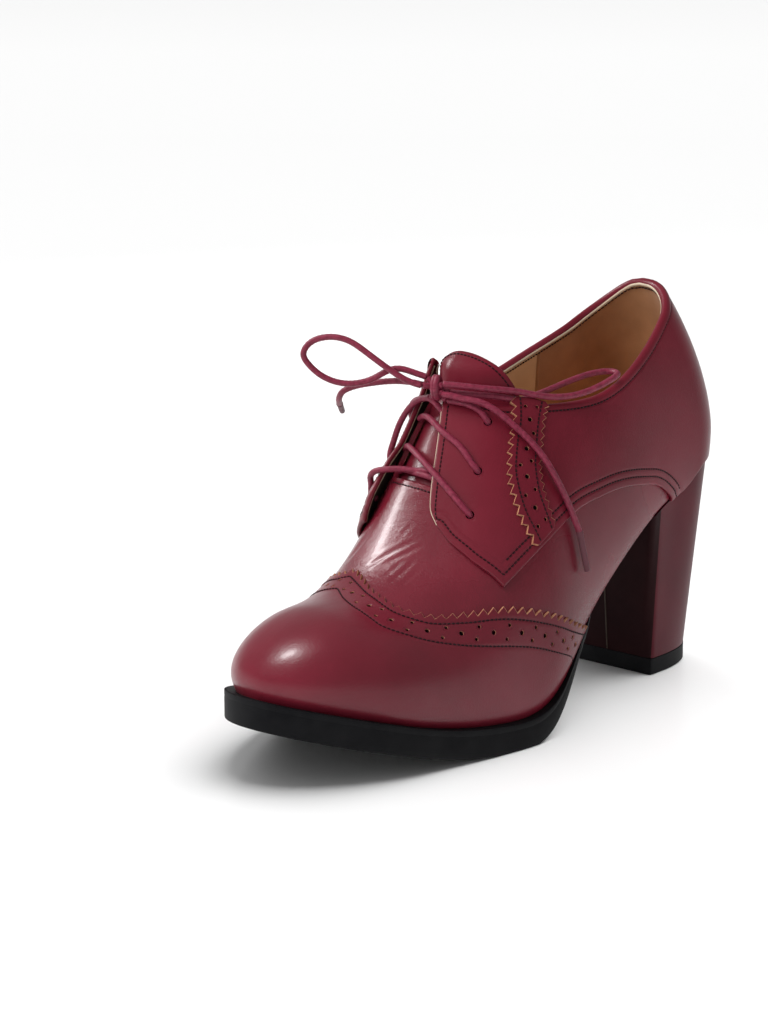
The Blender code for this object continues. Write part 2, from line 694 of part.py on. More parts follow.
def join(item, other, cutters):
    """Boolean union of another mesh object into item."""
    cutters.objects.link(other)
    other.hide_render = True
    other.display_type = "WIRE"
    union = item.modifiers.new("Join", "BOOLEAN")
    union.operation = "UNION"
    union.solver = "EXACT"
    union.object = other


def build_crossing(number, collection, cutters, material):
    name = "lace_crossing_%d" % (number + 1)
    first = tube_mesh(name, crossing_strand(LATERAL, number), LACE / 2, LACE_SIDES)
    second = tube_mesh(name + "_under", crossing_strand(MEDIAL, number), LACE / 2, LACE_SIDES)
    crossing = add_object(name, first, collection, material)
    join(crossing, bpy.data.objects.new(name + "_under", second), cutters)
    return crossing


def build_bar(collection, material):
    """Straight bar of lace on the tongue, between the facings' edges."""
    lateral = throat_reach("lateral", BAR_STATION) - EDGE_CLEAR_LATERAL
    medial = throat_reach("medial", BAR_STATION + BAR_SLANT) - EDGE_CLEAR_MEDIAL
    route = strand((
        (LATERAL, BAR_STATION, lateral, BAR_OVER),
        (LATERAL, BAR_STATION + BAR_SLANT / 2, MID_REACH, BAR_OVER),
        (MEDIAL, BAR_STATION + BAR_SLANT, medial, BAR_OVER),
    ))
    return add_object("lace_bar", tube_mesh("lace_bar", route, LACE / 2, LACE_SIDES), collection, material)


def build_top_strand(side, collection, material):
    """From the top lace hole, over the facing, to the side of the knot."""
    name = "lace_top_lateral" if side > 0 else "lace_top_medial"
    bends = TOP_STRAND_LATERAL if side > 0 else TOP_STRAND_MEDIAL
    s, q = lace_holes(side)[-1]
    route = smooth_route([offset_skin(s, side, q, OVER_FACING), *bends], LACE)
    return add_object(name, tube_mesh(name, route, LACE / 2, LACE_SIDES), collection, material)


def main():
    clear_scene()
    shoe = bpy.data.collections.new("heeled_lace_up_shoe")
    cutters = bpy.data.collections.new("cutters")
    for collection in (shoe, cutters):
        bpy.context.scene.collection.children.link(collection)
    materials = {name: make_material(name) for name in COLOURS}

    build_outsole(shoe, materials["rubber"])
    build_heel_lift(shoe, materials["rubber"])
    build_heel(shoe, materials["heel_cover"])
    build_insole(shoe, materials["lining"])
    upper = build_upper(shoe, materials["leather"])
    build_tongue(shoe, materials["leather"])
    for side in (LATERAL, MEDIAL):
        facing = build_facing(side, shoe, materials["leather"])
        cut_lace_holes(side, (facing, upper), cutters)
        build_top_strand(side, shoe, materials["lace"])

    build_bar(shoe, materials["lace"])
    for number in range(len(HOLE_ROWS) - 1):
        build_crossing(number, shoe, cutters, materials["lace"])
    build_knot(shoe, materials["lace"])
    build_cord("lace_loop_lateral", LOOP_LATERAL_ROUTE, shoe, materials["lace"])
    build_cord("lace_loop_medial", LOOP_MEDIAL_ROUTE, shoe, materials["lace"])
    build_cord("lace_end_lateral", END_LATERAL_ROUTE, shoe, materials["lace"])
    build_cord("lace_end_medial", END_MEDIAL_ROUTE, shoe, materials["lace"])
    build_aglet("aglet_lateral", END_LATERAL_ROUTE, AGLET_LATERAL_TIP, shoe, materials["aglet"])
    build_aglet("aglet_medial", END_MEDIAL_ROUTE, AGLET_MEDIAL_TIP, shoe, materials["aglet"])


main()
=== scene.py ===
"""Looks of a heeled lace-up shoe for the left foot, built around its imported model.

Sizes are millimetres in shoe coordinates: x to the outer (lateral) side, station s from the toe back to
the heel, z up from the floor. A place on the last is a station and a signed reach p: 0 on the crest, 1 and -1
on the girth line of the lateral and the medial side, 2 and -2 on the feather edge below it.
"""
import json
import math

import bmesh
import bpy
import numpy as np
from mathutils import Matrix, Vector

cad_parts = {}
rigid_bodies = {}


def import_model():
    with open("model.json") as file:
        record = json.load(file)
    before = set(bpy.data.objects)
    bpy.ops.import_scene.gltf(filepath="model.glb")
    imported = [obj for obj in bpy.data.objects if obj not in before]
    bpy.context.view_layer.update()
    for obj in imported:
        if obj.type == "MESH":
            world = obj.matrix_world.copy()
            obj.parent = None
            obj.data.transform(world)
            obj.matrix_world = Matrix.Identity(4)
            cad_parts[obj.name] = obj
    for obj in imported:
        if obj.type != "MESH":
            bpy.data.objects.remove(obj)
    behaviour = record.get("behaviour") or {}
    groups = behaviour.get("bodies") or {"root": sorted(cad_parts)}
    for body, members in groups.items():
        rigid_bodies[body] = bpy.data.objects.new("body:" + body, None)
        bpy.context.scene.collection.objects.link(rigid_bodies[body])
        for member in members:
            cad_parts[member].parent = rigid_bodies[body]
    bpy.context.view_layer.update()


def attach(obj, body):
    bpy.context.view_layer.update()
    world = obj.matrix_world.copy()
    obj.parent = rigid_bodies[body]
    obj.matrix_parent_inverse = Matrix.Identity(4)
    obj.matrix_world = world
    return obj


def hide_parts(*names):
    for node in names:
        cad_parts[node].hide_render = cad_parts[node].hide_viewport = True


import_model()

MM = 0.001
LATERAL, MEDIAL = 1, -1
SIDE_NAMES = {LATERAL: "lateral", MEDIAL: "medial"}
UP = np.array((0.0, 0.0, 1.0))
TO_TOE = np.array((0.0, -1.0, 0.0))
# Vertices of a piece closer than this, in metres, become one
WELD = 2e-6
# A path whose level cross direction is shorter than this runs too near upright to use it
NEAR_UPRIGHT = 0.1
# Angles from which an edge stays sharp
SHARP, LACE_SHARP, AGLET_SHARP, SOLE_SHARP, HEEL_SHARP, LIFT_SHARP = 50.0, 80.0, 40.0, 40.0, 60.0, 35.0

# Last, as in the part's source
LENGTH = 240.0
LAST_COLUMNS = ("station", "feather", "girth", "crest", "medial", "lateral", "crest_x", "fullness")
LAST_ROWS = (
    (0, 30.5, 6.0, 46, 34.0, 36.0, 0.0, 1.8),
    (28, 22.5, 7.5, 54, 33.5, 37.5, -0.5, 2.1),
    (56, 15.0, 11.0, 56, 37.5, 43.0, -2.5, 2.1),
    (84, 11.0, 12.5, 77, 37.5, 50.5, -6.0, 2.0),
    (110, 14.0, 14.0, 119, 29.0, 55.0, -9.0, 1.9),
    (140, 35.5, 15.5, 145, 25.5, 47.0, -7.0, 1.9),
    (170, 57.0, 17.5, 158, 27.0, 39.5, -3.5, 2.0),
    (202, 74.0, 18.0, 164, 29.5, 34.5, -1.0, 1.9),
    (240, 81.0, 18.0, 168, 30.0, 33.0, 0.0, 1.8),
)
TOE_ROUND, TOE_POWER = 47.0, 1.9
HEEL_ROUND, HEEL_POWER = 23.0, 2.2
CREST_ROUND, CREST_POWER = 24.0, 2.2
BACK_LEAN, BACK_HEIGHT, LEAN_START, LEAN_POWER = 15.0, 69.0, 144.0, 1.5
TUCK, TUCK_ANGLE, TUCK_SHARE = 2.0, 1.2, 0.17
END_CLEAR, STEP_S, STEP_P = 0.3, 0.1, 0.004
WALL = 1.8
# Height of the topline on each side
COLLAR_COLUMNS = ("station", "lateral", "medial")
COLLAR_ROWS = (
    (110, 118.5, 118.5),
    (134, 118.3, 119.2),
    (158, 119.7, 122.2),
    (182, 127.2, 127.8),
    (206, 138.4, 134.2),
    (226, 148.9, 142.6),
    (234, 152.9, 149.0),
    (240, 155.6, 155.6),
)
CREST_CLEAR = 0.4

# Throat edge of the upper by turn from the toe (0) to the back (1)
OPENING_COLUMNS = ("turn", "s_lateral", "q_lateral", "s_medial", "q_medial")
OPENING_ROWS = (
    (0.00, 93.2, 0.00, 93.2, 0.00),
    (0.05, 93.2, 0.11, 93.6, 0.12),
    (0.09, 93.4, 0.19, 94.4, 0.235),
    (0.14, 94.6, 0.24, 96.4, 0.385),
    (0.22, 99.0, 0.22, 101.0, 0.42),
    (0.31, 105.0, 0.16, 108.0, 0.38),
    (0.39, 111.0, 0.12, 115.0, 0.33),
)
COLLAR_TURN, UPRIGHT_TURN = 0.39, 0.54
UPPER_RIBS, UPPER_ROWS, TUCK_ROWS, LINING_STEP = 180, 190, 6, 4
ROW_POWER = 1.6
THROAT_LIP, THROAT_STITCH, THROAT_RIBS = 0.45, 1.9, 26
MARGIN, MARGIN_DROP = 7.0, 0.05

# Creases where the vamp bends: from one place to another, depth of the trough and its half width
CREASE_COLUMNS = ("from_s", "from_p", "to_s", "to_p", "depth", "width")
CREASE_ROWS = (
    (83.0, 0.23, 69.9, -0.21, 0.19, 1.1),
    (82.4, 0.29, 71.6, -0.02, 0.15, 1.0),
    (76.4, 0.18, 66.8, 0.06, 0.10, 1.0),
    (79.0, 0.27, 66.1, 0.16, 0.12, 1.1),
    (76.9, 0.34, 66.6, 0.27, 0.09, 1.0),
    (86.0, 0.12, 80.5, 0.02, 0.07, 1.0),
    (88.0, -0.34, 78.5, -0.56, 0.14, 1.6),
    (84.0, -0.36, 76.0, -0.62, 0.12, 1.5),
    (98.0, 0.80, 86.0, 0.70, 0.12, 1.8),
)
CREASE_SAMPLES, CREASE_FADE_SHARE = 24, 0.35
RIDGE_SHARE, RIDGE_AWAY, RIDGE_WIDTH = 0.45, 1.9, 0.8

# Wing over the toe: pinked edge, lower stitch line and foot of each rib
WING_COLUMNS = ("edge_s", "edge_p", "line_s", "line_p", "foot_s")
WING_ROWS = {
    LATERAL: (
        (67.5, -0.27, 58.0, -0.28, 0.0),
        (62.5, -0.05, 50.0, -0.02, 1.5),
        (59.0, 0.12, 45.5, 0.22, 4.0),
        (56.3, 0.41, 43.6, 0.52, 12.0),
        (61.6, 0.64, 52.0, 0.74, 30.0),
        (74.0, 0.79, 66.0, 0.875, 54.0),
        (85.8, 0.876, 79.8, 0.941, 76.0),
        (95.8, 0.9315, 90.0, 0.969, 87.5),
        (103.8, 0.9617, 97.5, 0.983, 95.5),
        (112.6, 0.9841, 105.0, 0.9933, 104.0),
        (121.0, 0.9975, 112.8, 0.9995, 112.6),
        (128.8, 1.21, 119.2, 1.23, 119.2),
        (136.0, 1.748, 124.2, 1.60, 124.2),
        (138.5, 2.0, 126.5, 2.0, 126.5),
    ),
    MEDIAL: (
        (67.5, -0.27, 58.0, -0.28, 0.0),
        (67.3, -0.40, 58.6, -0.42, 3.0),
        (69.2, -0.57, 60.0, -0.58, 9.0),
        (72.0, -0.72, 62.5, -0.73, 22.0),
        (77.0, -0.83, 69.0, -0.86, 46.0),
        (88.0, -0.91, 82.0, -0.945, 72.0),
        (105.0, -0.975, 98.0, -0.985, 96.0),
        (113.0, -0.99, 106.0, -0.996, 104.5),
        (121.0, -1.05, 113.0, -1.02, 113.0),
        (127.5, -1.35, 118.0, -1.30, 118.0),
        (131.5, -1.70, 122.0, -1.65, 122.0),
        (135.0, -2.0, 126.0, -2.0, 126.0),
    ),
}
WING_HEIGHT, WING_SINK = 1.1, 0.1
BAND_ROWS, CAP_ROWS, LINE_SAMPLES = 34, 30, 400
# Reach from which the wing's ribs run straight down, and the reach over which they turn
SIDE_REACH, SIDE_BLEND = 0.90, 0.08
# The toe is evened out over the join of the wing's halves: stations, rows and passes
TOE_EVEN, TOE_FADE, EVEN_ROWS, EVEN_PASSES = 36.0, 14.0, 7.0, 40
# The vamp lies lower where the wing covers it
COVER_END, COVER_FADE, COVER_DEPTH = 42.0, 8.0, 0.9
TOOTH_PERIOD, TOOTH_DEPTH, TOOTH_STEPS = 4.0, 2.2, 10
EDGE_STITCH = 1.9
HOLE_PITCH, HOLE_START = 6.15, 4.0
HOLE_SMALL, HOLE_LARGE = 0.68, 0.88
# The two lines of each band, as in its columns
WING_LINES, STRIP_LINES = ("edge", "line"), ("front", "back")
# Places of the holes across a band: those of a pair and the single one
WING_HOLES = (0.33, 0.76), 0.545
# Punched holes: slot of the wall, width of the lip and depth; slot 2 is near-black painted shade
BAND_HOLE, LACE_HOLE = (1, 0.45, 1.0), (2, 0.6, 1.1)
HOLE_SIDES, HOLE_AXIS = 18, (0.0, 1.0, 0.3)
# Lip of a hole: share of its width, step out and height
HOLE_RIM = ((1.0, 0.0, -0.05), (0.6, 0.0, 0.035), (0.0, 0.08, 0.02), (0.0, 0.0, -0.05))
WALL_SHARE, WALL_DEPTH, FLOOR_SHARE = 0.98, 0.35, 0.97
PIT_DEPTH, LACE_PIT_DEPTH, PIT_SLACK, PIT_EDGE = 1.05, 1.2, 0.25, 0.12

# Quarter with its facing: lower folded edge and topline by the share u from the throat to the back
QUARTER_COLUMNS = ("u", "lower_s", "lower_q", "top_s")
# Behind the waist both sides are alike
QUARTER_BACK_ROWS = (
    (0.65, 169.0, 0.9905, 170.0),
    (0.70, 179.0, 0.9989, 179.0),
    (0.73, 184.0, 1.003, 184.0),
    (0.762, 189.6, 1.215, 189.4),
    (0.797, 194.8, 1.466, 195.0),
    (0.832, 199.6, 1.785, 201.0),
    (0.85, 201.4, 2.00, 205.0),
    (0.875, 208.4, 1.94, 209.5),
    (0.92, 221.5, 1.50, 221.5),
    (1.0, 240.0, 1.40, 240.0),
)
QUARTER_ROWS = {
    LATERAL: (
        (0.00, 86.9, 0.33, 112.5),
        (0.06, 86.0, 0.45, 113.5),
        (0.12, 86.9, 0.61, 115.0),
        (0.20, 92.0, 0.83, 117.5),
        (0.30, 110.1, 0.863, 123.0),
        (0.42, 131.1, 0.904, 135.0),
        (0.54, 150.8, 0.958, 152.0),
        *QUARTER_BACK_ROWS,
    ),
    MEDIAL: (
        (0.00, 88.0, 0.515, 124.0),
        (0.06, 89.0, 0.60, 124.4),
        (0.12, 90.8, 0.70, 125.0),
        (0.20, 96.5, 0.84, 126.5),
        (0.30, 112.0, 0.89, 129.5),
        (0.42, 131.0, 0.93, 138.0),
        (0.54, 151.0, 0.965, 152.0),
        *QUARTER_BACK_ROWS,
    ),
}
TIP_U, SEAM_END_U = 0.20, 0.85
# Front edge of each facing from its lower corner to the topline, and its lift off the vamp
FRONT_COLUMNS = ("v", "s", "q", "lift")
FRONT_ROWS = {
    LATERAL: (
        (0.00, 86.9, 0.33, 0.3),
        (0.15, 89.0, 0.25, 0.8),
        (0.30, 92.5, 0.205, 1.0),
        (0.60, 102.4, 0.125, 1.0),
        (1.00, 112.5, 0.03, 1.2),
    ),
    MEDIAL: (
        (0.00, 88.0, 0.515, 1.4),
        (0.10, 89.4, 0.47, 3.0),
        (0.25, 92.7, 0.42, 4.2),
        (0.42, 99.2, 0.40, 3.2),
        (0.55, 104.5, 0.38, 1.6),
        (0.80, 113.0, 0.34, 2.6),
        (1.00, 124.0, 0.31, 7.0),
    ),
}
LIFT_FADE = 9.0
TOP_BLEND = 0.06
QUARTER_HEIGHT, BACK_HEIGHT_LAYER = 1.8, 1.5
THICK_END, THICK_FADE = 0.62, 0.25
QUARTER_GRID = (130, 320)
FOLD_ANGLES = np.radians((60, 30, 0, -30, -60, -90))
LACE_HOLES = {
    LATERAL: ((93.9, 0.509), (102.2, 0.451), (112.2, 0.388)),
    MEDIAL: ((97.0, 0.62), (105.0, 0.58), (115.0, 0.54)),
}
SEAM_STITCHES, FRONT_STITCH, COLLAR_STITCH = (2.5, 5.4), 2.2, 2.3
SEAM_STARTS = (0.015, 0.212)
# Width of the leather turned over to the inside of a facing, in columns
TURNED_COLUMNS = 4
# Lift from which the inside of a facing shows, and its distance from the base
LIFT_SHOWN, INSIDE_GAP = 0.1, 0.02
# Stitches of the medial facing lie deeper, so that its outline stays smooth
SUNK_STITCH = 0.28
# Stitch lines stop this many points before a corner
STITCH_STOP = 4
# Step out and lift, in millimetres, of the pale tube on the lateral facing's front edge, where it sits on the
# fold as a painted highlight
PAINTED_HIGHLIGHT_EDGE = (0.95, 0.95)
STITCH_MEET = 0.25
GROOVE_DEPTH, GROOVE_WIDTH, GROOVE_SHARE = 0.22, 0.60, 0.7
LACE_HOLE_RADIUS = 1.6

# Pinked strip behind each facing, from the topline down to the folded edge
STRIP_COLUMNS = ("front_s", "front_p", "back_s", "back_p")
STRIP_ROWS = {
    LATERAL: (
        (123.6, 0.46, 132.3, 0.594),
        (119.0, 0.53, 127.9, 0.623),
        (114.2, 0.57, 123.5, 0.664),
        (109.0, 0.64, 118.9, 0.712),
        (107.0, 0.75, 116.6, 0.789),
        (108.6, 0.852, 117.2, 0.866),
    ),
    MEDIAL: (
        (128.5, 0.64, 138.0, 0.74),
        (123.0, 0.67, 134.0, 0.77),
        (118.0, 0.70, 130.0, 0.80),
        (112.5, 0.75, 125.6, 0.83),
        (109.5, 0.81, 121.0, 0.87),
        (110.6, 0.882, 117.4, 0.895),
    ),
}
STRIP_HEIGHT, STRIP_SINK, STRIP_LEVELS, STRIP_STITCH = 1.0, 0.5, 34, 1.4
STRIP_HOLES = (0.30, 0.72), 0.50
STRIP_FRONT_TOOTH, STRIP_BACK_TOOTH = 0.9, 0.7

# Tongue
TONGUE_COLUMNS = ("station", "q_lateral", "q_medial")
TONGUE_ROWS = (
    (80, 0.36, 0.50), (92, 0.40, 0.62), (106, 0.43, 0.70), (118, 0.50, 0.76), (127, 0.56, 0.76),
)
TONGUE_GRID, TONGUE_STITCH_ROW, TONGUE_STITCH_STOP = (100, 80), -3, 2
TONGUE_START, TONGUE_TOP, TONGUE_CORNER = 80.0, 124.0, 3.0
TONGUE_THICK, TONGUE_DEPTH = 2.0, 2.9
TONGUE_FLARE, FLARE_START, FLARE_RISE = 6.5, 2.0, 11.0
# The tongue's medial corner stands out towards the medial facing
CORNER_LIFT, CORNER_START, CORNER_LENGTH = 4.5, 106.0, 14.0

# Sole and heel, as in the part's source apart from a deeper foot of the heel
GAP = 0.3
RIM, RIM_FADE = 3.0, (91.0, 158.0)
SOLE_THICK, WAIST_THICK = 11.45, 3.0
THIN_FROM, THIN_TO = 96.0, 144.0
CAD_RIBS, SOLE_RIBS = 36, 420
BREAST_TOP, BREAST_FOOT = 189.3, 199.5
HEEL_HALF_WIDTH, HEEL_DEPTH, HEEL_FOOT_POWER = 25.5, 39.6, 2.6
SEAT_LIP, SEAT_GAP = 0.4, 0.4
LIFT_HEIGHT = 7.0
HEEL_POINTS, HEEL_LEVELS, FOOT_POINTS, SEAT_POINTS = 200, 40, 80, 200
SOFT_SAMPLES, RUNGS = 1200, 12
INSOLE_TOP = 2.2
SOCK_RIBS, SOCK_INSET, SOCK_CENTRE, SOCK_END = 160, 1.2, 0.3, 12
# Sock lining from its edge to its middle: share of the way out and lift
SOCK_RINGS = (
    (1.0, 2.2), (0.985, 0.9), (0.95, 0.25), (0.85, 0.0), (0.6, -0.3), (0.3, -0.4), (0.0, -0.4),
)
# The waist of the sole draws in under the upper
WAIST_INSET, INSET_FROM, INSET_LENGTH = 3.4, 138.0, 18.0
# Wheeled upper edge of the sole, and how much flatter its profile is at the waist
WHEEL_DEPTH, WHEEL_PITCH, WHEEL_LEVEL, WHEEL_INSET, WAIST_FLAT = 0.10, 1.5, 0.9, -1, 0.6
# Profile of the sole's edge: outset, level from the foot (0) to the top (1)
SOLE_PROFILE = (
    (-1.2, 0.00), (-0.5, 0.015), (-0.1, 0.05), (0.0, 0.10), (0.0, 0.76), (-0.10, 0.78), (-0.10, 0.80),
    (0.0, 0.82), (0.0, 0.95), (-0.10, 0.985), (-0.40, 1.00), (-1.2, 1.00), (-6.0, 1.00),
)

# Lace, with the free routes of the part's source in x, station and height
LACE = 2.5
KNOT_CENTRE, KNOT_INSIDE = (-7.5, 105.5, 125.8), (0.0, 0.5, -1.5)
# Wraps of the knot: where they lie side by side, their level direction and their two radii
KNOT_OFFSETS, KNOT_FORWARD, KNOT_RADII = (-0.65, 0.65), (0.45, -0.89, 0.1), (3.0, 3.7)
KNOT_SAMPLES, ROUTE_SAMPLES = 70, 600
LOOP_LATERAL_ROUTE = (
    (-3.4, 104.0, 127.7), (2.5, 107.0, 127.4), (9.0, 111.0, 126.8), (18.0, 123.2, 124.8),
    (22.5, 130.0, 123.0), (28.0, 142.3, 122.2), (31.5, 152.5, 124.4), (33.0, 159.5, 126.8),
    (31.5, 165.0, 128.2), (27.5, 166.0, 128.4), (23.8, 161.0, 128.0), (21.2, 153.5, 126.6),
    (19.0, 145.5, 124.6), (17.5, 138.0, 122.8), (17.0, 131.0, 121.8), (16.6, 124.5, 121.4),
    (13.2, 117.6, 123.0), (7.5, 112.7, 123.7), (1.5, 109.8, 124.0), (-3.4, 108.3, 124.0),
)
LOOP_MEDIAL_ROUTE = (
    (-11.8, 105.2, 129.2), (-16.8, 102.2, 131.0), (-21.9, 99.6, 132.0), (-27.0, 97.0, 130.0),
    (-30.0, 95.4, 128.0), (-35.4, 92.6, 125.9), (-40.6, 90.0, 125.5), (-48.9, 86.0, 128.3),
    (-53.2, 83.9, 132.3), (-54.9, 83.1, 135.6), (-53.1, 83.9, 139.7), (-48.4, 86.0, 142.4),
    (-43.0, 88.2, 143.0), (-37.6, 90.2, 141.8), (-31.8, 92.0, 138.6), (-26.0, 94.0, 134.7),
    (-20.9, 96.2, 131.2), (-16.4, 99.0, 128.2), (-11.6, 102.0, 126.4),
)
END_LATERAL_ROUTE = (
    (-3.4, 104.0, 123.9), (0.5, 104.6, 123.7), (4.9, 106.0, 123.0), (10.0, 107.8, 122.4),
    (14.6, 110.0, 120.6), (19.4, 112.8, 116.8), (25.4, 115.4, 111.6), (30.4, 118.0, 106.2),
    (35.8, 121.4, 97.1), (39.2, 126.2, 85.4), (41.8, 130.4, 73.4),
)
END_MEDIAL_ROUTE = (
    (-11.6, 106.0, 125.6), (-18.2, 104.2, 126.6), (-27.6, 100.9, 126.4), (-34.9, 98.2, 125.1),
    (-42.2, 95.6, 123.0), (-45.6, 94.8, 121.1), (-48.2, 95.8, 118.8), (-51.4, 98.8, 116.4),
    (-55.0, 103.0, 114.2),
)
AGLET_LATERAL_TIP = (43.6, 133.0, 58.8)
AGLET_MEDIAL_TIP = (-65.6, 115.6, 108.4)
AGLET_RADIUS, AGLET_SIDES = 1.2, 20
# Aglet: its collar by distance from the lace's end and radius share, its middle by share of the length, and
# its tip by distance from the end
AGLET_PROFILE = ((-0.9, 0.85), (-0.8, 1.12), (0.3, 1.14), (0.9, 1.10), (1.1, 1.0))
AGLET_MIDDLE, AGLET_TIP = (0.5, 0.98), ((0.5, 0.94), (0.0, 0.8), (0.0, 0.0))
TOP_STRANDS = {
    LATERAL: ((5.5, 108.6, 120.4), (-3.4, 106.8, 121.2)),
    MEDIAL: ((-19.5, 109.4, 119.4), (-11.8, 107.2, 121.4)),
}
LACE_SIDES, LACE_STEP, BRAID_PITCH, BRAID_DEPTH, DOME_SHARE = 16, 0.45, 1.7, 0.07, 0.4
CROSSINGS = (
    (
        (93.9, 0.509, -1.2), (93.9, 0.509, 1.0), (93.9, 0.46, 2.9), (94.4, 0.355, 3.4), (95.9, 0.18, 3.4),
        (97.8, 0.02, 2.5), (100.5, -0.2, 1.2), (103.2, -0.37, 0.2), (104.6, -0.46, -0.4),
    ),
    (
        (97.0, -0.62, 0.5), (97.0, -0.62, 2.6), (97.2, -0.56, 5.4), (97.0, -0.50, 7.2), (96.5, -0.42, 7.6),
        (96.1, -0.32, 5.4), (95.8, -0.17, 1.6), (95.7, -0.01, -0.5), (96.6, 0.12, -0.5), (97.6, 0.26, -1.2),
    ),
    (
        (102.2, 0.451, -1.2), (102.2, 0.451, 1.0), (102.4, 0.40, 2.9), (103.3, 0.29, 3.4),
        (103.9, 0.146, 3.2), (106.2, -0.06, 1.4), (108.3, -0.25, 0.4), (110.0, -0.37, 0.2),
    ),
    (
        (105.0, -0.58, 0.5), (105.0, -0.58, 2.6), (106.5, -0.52, 5.0), (108.8, -0.44, 6.0),
        (110.5, -0.37, 5.8), (111.0, -0.24, 4.6), (110.0, -0.08, 3.4), (108.2, 0.05, 1.4),
        (107.4, 0.13, -0.2), (107.6, 0.20, -1.0),
    ),
    (
        (95.2, 0.24, -1.9), (95.2, 0.163, -0.8), (95.3, -0.046, -0.7), (96.8, -0.25, -0.8),
        (98.8, -0.42, -1.6),
    ),
)
TOP_STARTS = {
    LATERAL: ((112.2, 0.388, -1.2), (112.2, 0.388, 1.0), (112.4, 0.35, 2.9)),
    MEDIAL: ((115.0, -0.54, 0.5), (115.0, -0.54, 2.6), (114.6, -0.46, 5.4)),
}

# Stitches
STITCH_PITCH, STITCH_HALF, STITCH_RADIUS, STITCH_SIDES = 1.7, 0.80, 0.32, 6
# Thread along a stitch: step, girth and lift
STITCH_PROFILE = (
    (-1.0, 0.0, -0.5), (-0.8, 0.7, -0.1), (-0.3, 1.0, 0.2),
    (0.3, 1.0, 0.2), (0.8, 0.7, -0.1), (1.0, 0.0, -0.5),
)
# Raw edge of a cut sheet: step out and share of the depth
RAW_PROFILE = ((0.0, 0.0), (0.30, 0.12), (0.36, 0.5), (0.30, 1.0))

# Camera, from the outline fitted in the photo
IMAGE = (768, 1024)
AZIMUTH, ELEVATION = math.radians(40.26), math.radians(12.94)
CAMERA_DISTANCE, FOCAL_PIXELS, SENSOR, CLIP_START = 917.5, 2412.72, 36.0, 0.01
TARGET, TARGET_PIXEL = (0.0, 120.0, 72.0), (478.35, 524.21)


# Tables and curves
def columns(names, rows):
    """Table rows as named arrays."""
    return {name: np.array([row[i] for row in rows], float) for i, name in enumerate(names)}


def spline(xs, ys):
    """Natural cubic spline through a short table."""
    xs = np.asarray(xs, float)
    ys = np.asarray(ys, float)
    count = len(xs)
    step = np.diff(xs)
    slope = np.diff(ys) / step
    system = np.eye(count)
    target = np.zeros(count)
    for i in range(1, count - 1):
        system[i, i - 1:i + 2] = step[i - 1], 2 * (step[i - 1] + step[i]), step[i]
        target[i] = 6 * (slope[i] - slope[i - 1])
    bend = np.linalg.solve(system, target)

    def value(x):
        x = np.asarray(x, float)
        i = np.clip(np.searchsorted(xs, x) - 1, 0, count - 2)
        t = x - xs[i]
        first = slope[i] - step[i] * (2 * bend[i] + bend[i + 1]) / 6
        return ys[i] + t * first + t**2 * bend[i] / 2 + t**3 * (bend[i + 1] - bend[i]) / (6 * step[i])

    return value


def steady(xs, ys):
    """Smooth curve through a short table that never overshoots its rows."""
    xs = np.asarray(xs, float)
    ys = np.asarray(ys, float)
    step = np.diff(xs)
    slope = np.diff(ys) / step
    rate = np.zeros(len(xs))
    rate[0] = slope[0]
    rate[-1] = slope[-1]
    for i in range(1, len(xs) - 1):
        if slope[i - 1] * slope[i] > 0:
            near = 2 * step[i] + step[i - 1]
            far = step[i] + 2 * step[i - 1]
            rate[i] = (near + far) / (near / slope[i - 1] + far / slope[i])

    def value(x):
        x = np.clip(np.asarray(x, float), xs[0], xs[-1])
        i = np.clip(np.searchsorted(xs, x) - 1, 0, len(xs) - 2)
        t = (x - xs[i]) / step[i]
        start = (1 + 2 * t) * (1 - t) ** 2 * ys[i] + t * (1 - t) ** 2 * step[i] * rate[i]
        return start + t**2 * (3 - 2 * t) * ys[i + 1] + t**2 * (t - 1) * step[i] * rate[i + 1]

    return value


def turned(p):
    """Reach as an even turn over the skin, so that places on both sides of the girth line blend smoothly."""
    size = np.abs(p)
    return np.sign(p) * (np.arcsin(np.minimum(size, 1)) * 2 / np.pi + np.maximum(size - 1, 0) * TUCK_SHARE)


def reached(turn):
    size = np.abs(turn)
    return np.sign(turn) * (np.sin(np.minimum(size, 1) * np.pi / 2) + np.maximum(size - 1, 0) / TUCK_SHARE)


def smooth_step(t):
    t = np.clip(t, 0, 1)
    return t * t * (3 - 2 * t)


def unit(vectors):
    return vectors / np.maximum(np.linalg.norm(vectors, axis=-1, keepdims=True), 1e-12)


def run_length(points):
    """Length along a line of points."""
    return np.concatenate([[0], np.cumsum(np.linalg.norm(np.diff(points, axis=0), axis=1))])


def grid_run(points, axis):
    """Length along one axis of a grid of points."""
    steps = np.linalg.norm(np.diff(points, axis=axis), axis=-1)
    return np.pad(np.cumsum(steps, axis), [(int(i == axis), 0) for i in (0, 1)])


def resample(points, count):
    """Evenly spaced points along a line."""
    along = run_length(points)
    places = np.linspace(0, along[-1], count)
    return np.stack([np.interp(places, along, points[:, i]) for i in range(points.shape[1])], -1)


def smooth_route(route):
    """Evenly spaced points of a smooth curve through the route's own points."""
    route = np.asarray(route, float)
    chord = run_length(route)
    axes = [spline(chord, route[:, i]) for i in range(3)]
    dense = np.stack([axis(np.linspace(0, chord[-1], ROUTE_SAMPLES)) for axis in axes], -1)
    return resample(dense, int(run_length(dense)[-1] / LACE_STEP) + 2)


# Last
def end_round(distance, radius, power):
    """Growth from 0 at a rounded end to 1 one radius in."""
    left = np.clip(1 - np.asarray(distance, float) / radius, 0, 1)
    return np.maximum(0, 1 - left**power) ** (1 / power)


last_table = columns(LAST_COLUMNS, LAST_ROWS)
LAST = {name: spline(last_table["station"], last_table[name]) for name in LAST_COLUMNS[1:]}
collar_table = columns(COLLAR_COLUMNS, COLLAR_ROWS)
COLLAR_HEIGHT = {
    side: spline(collar_table["station"], collar_table[name]) for side, name in SIDE_NAMES.items()
}


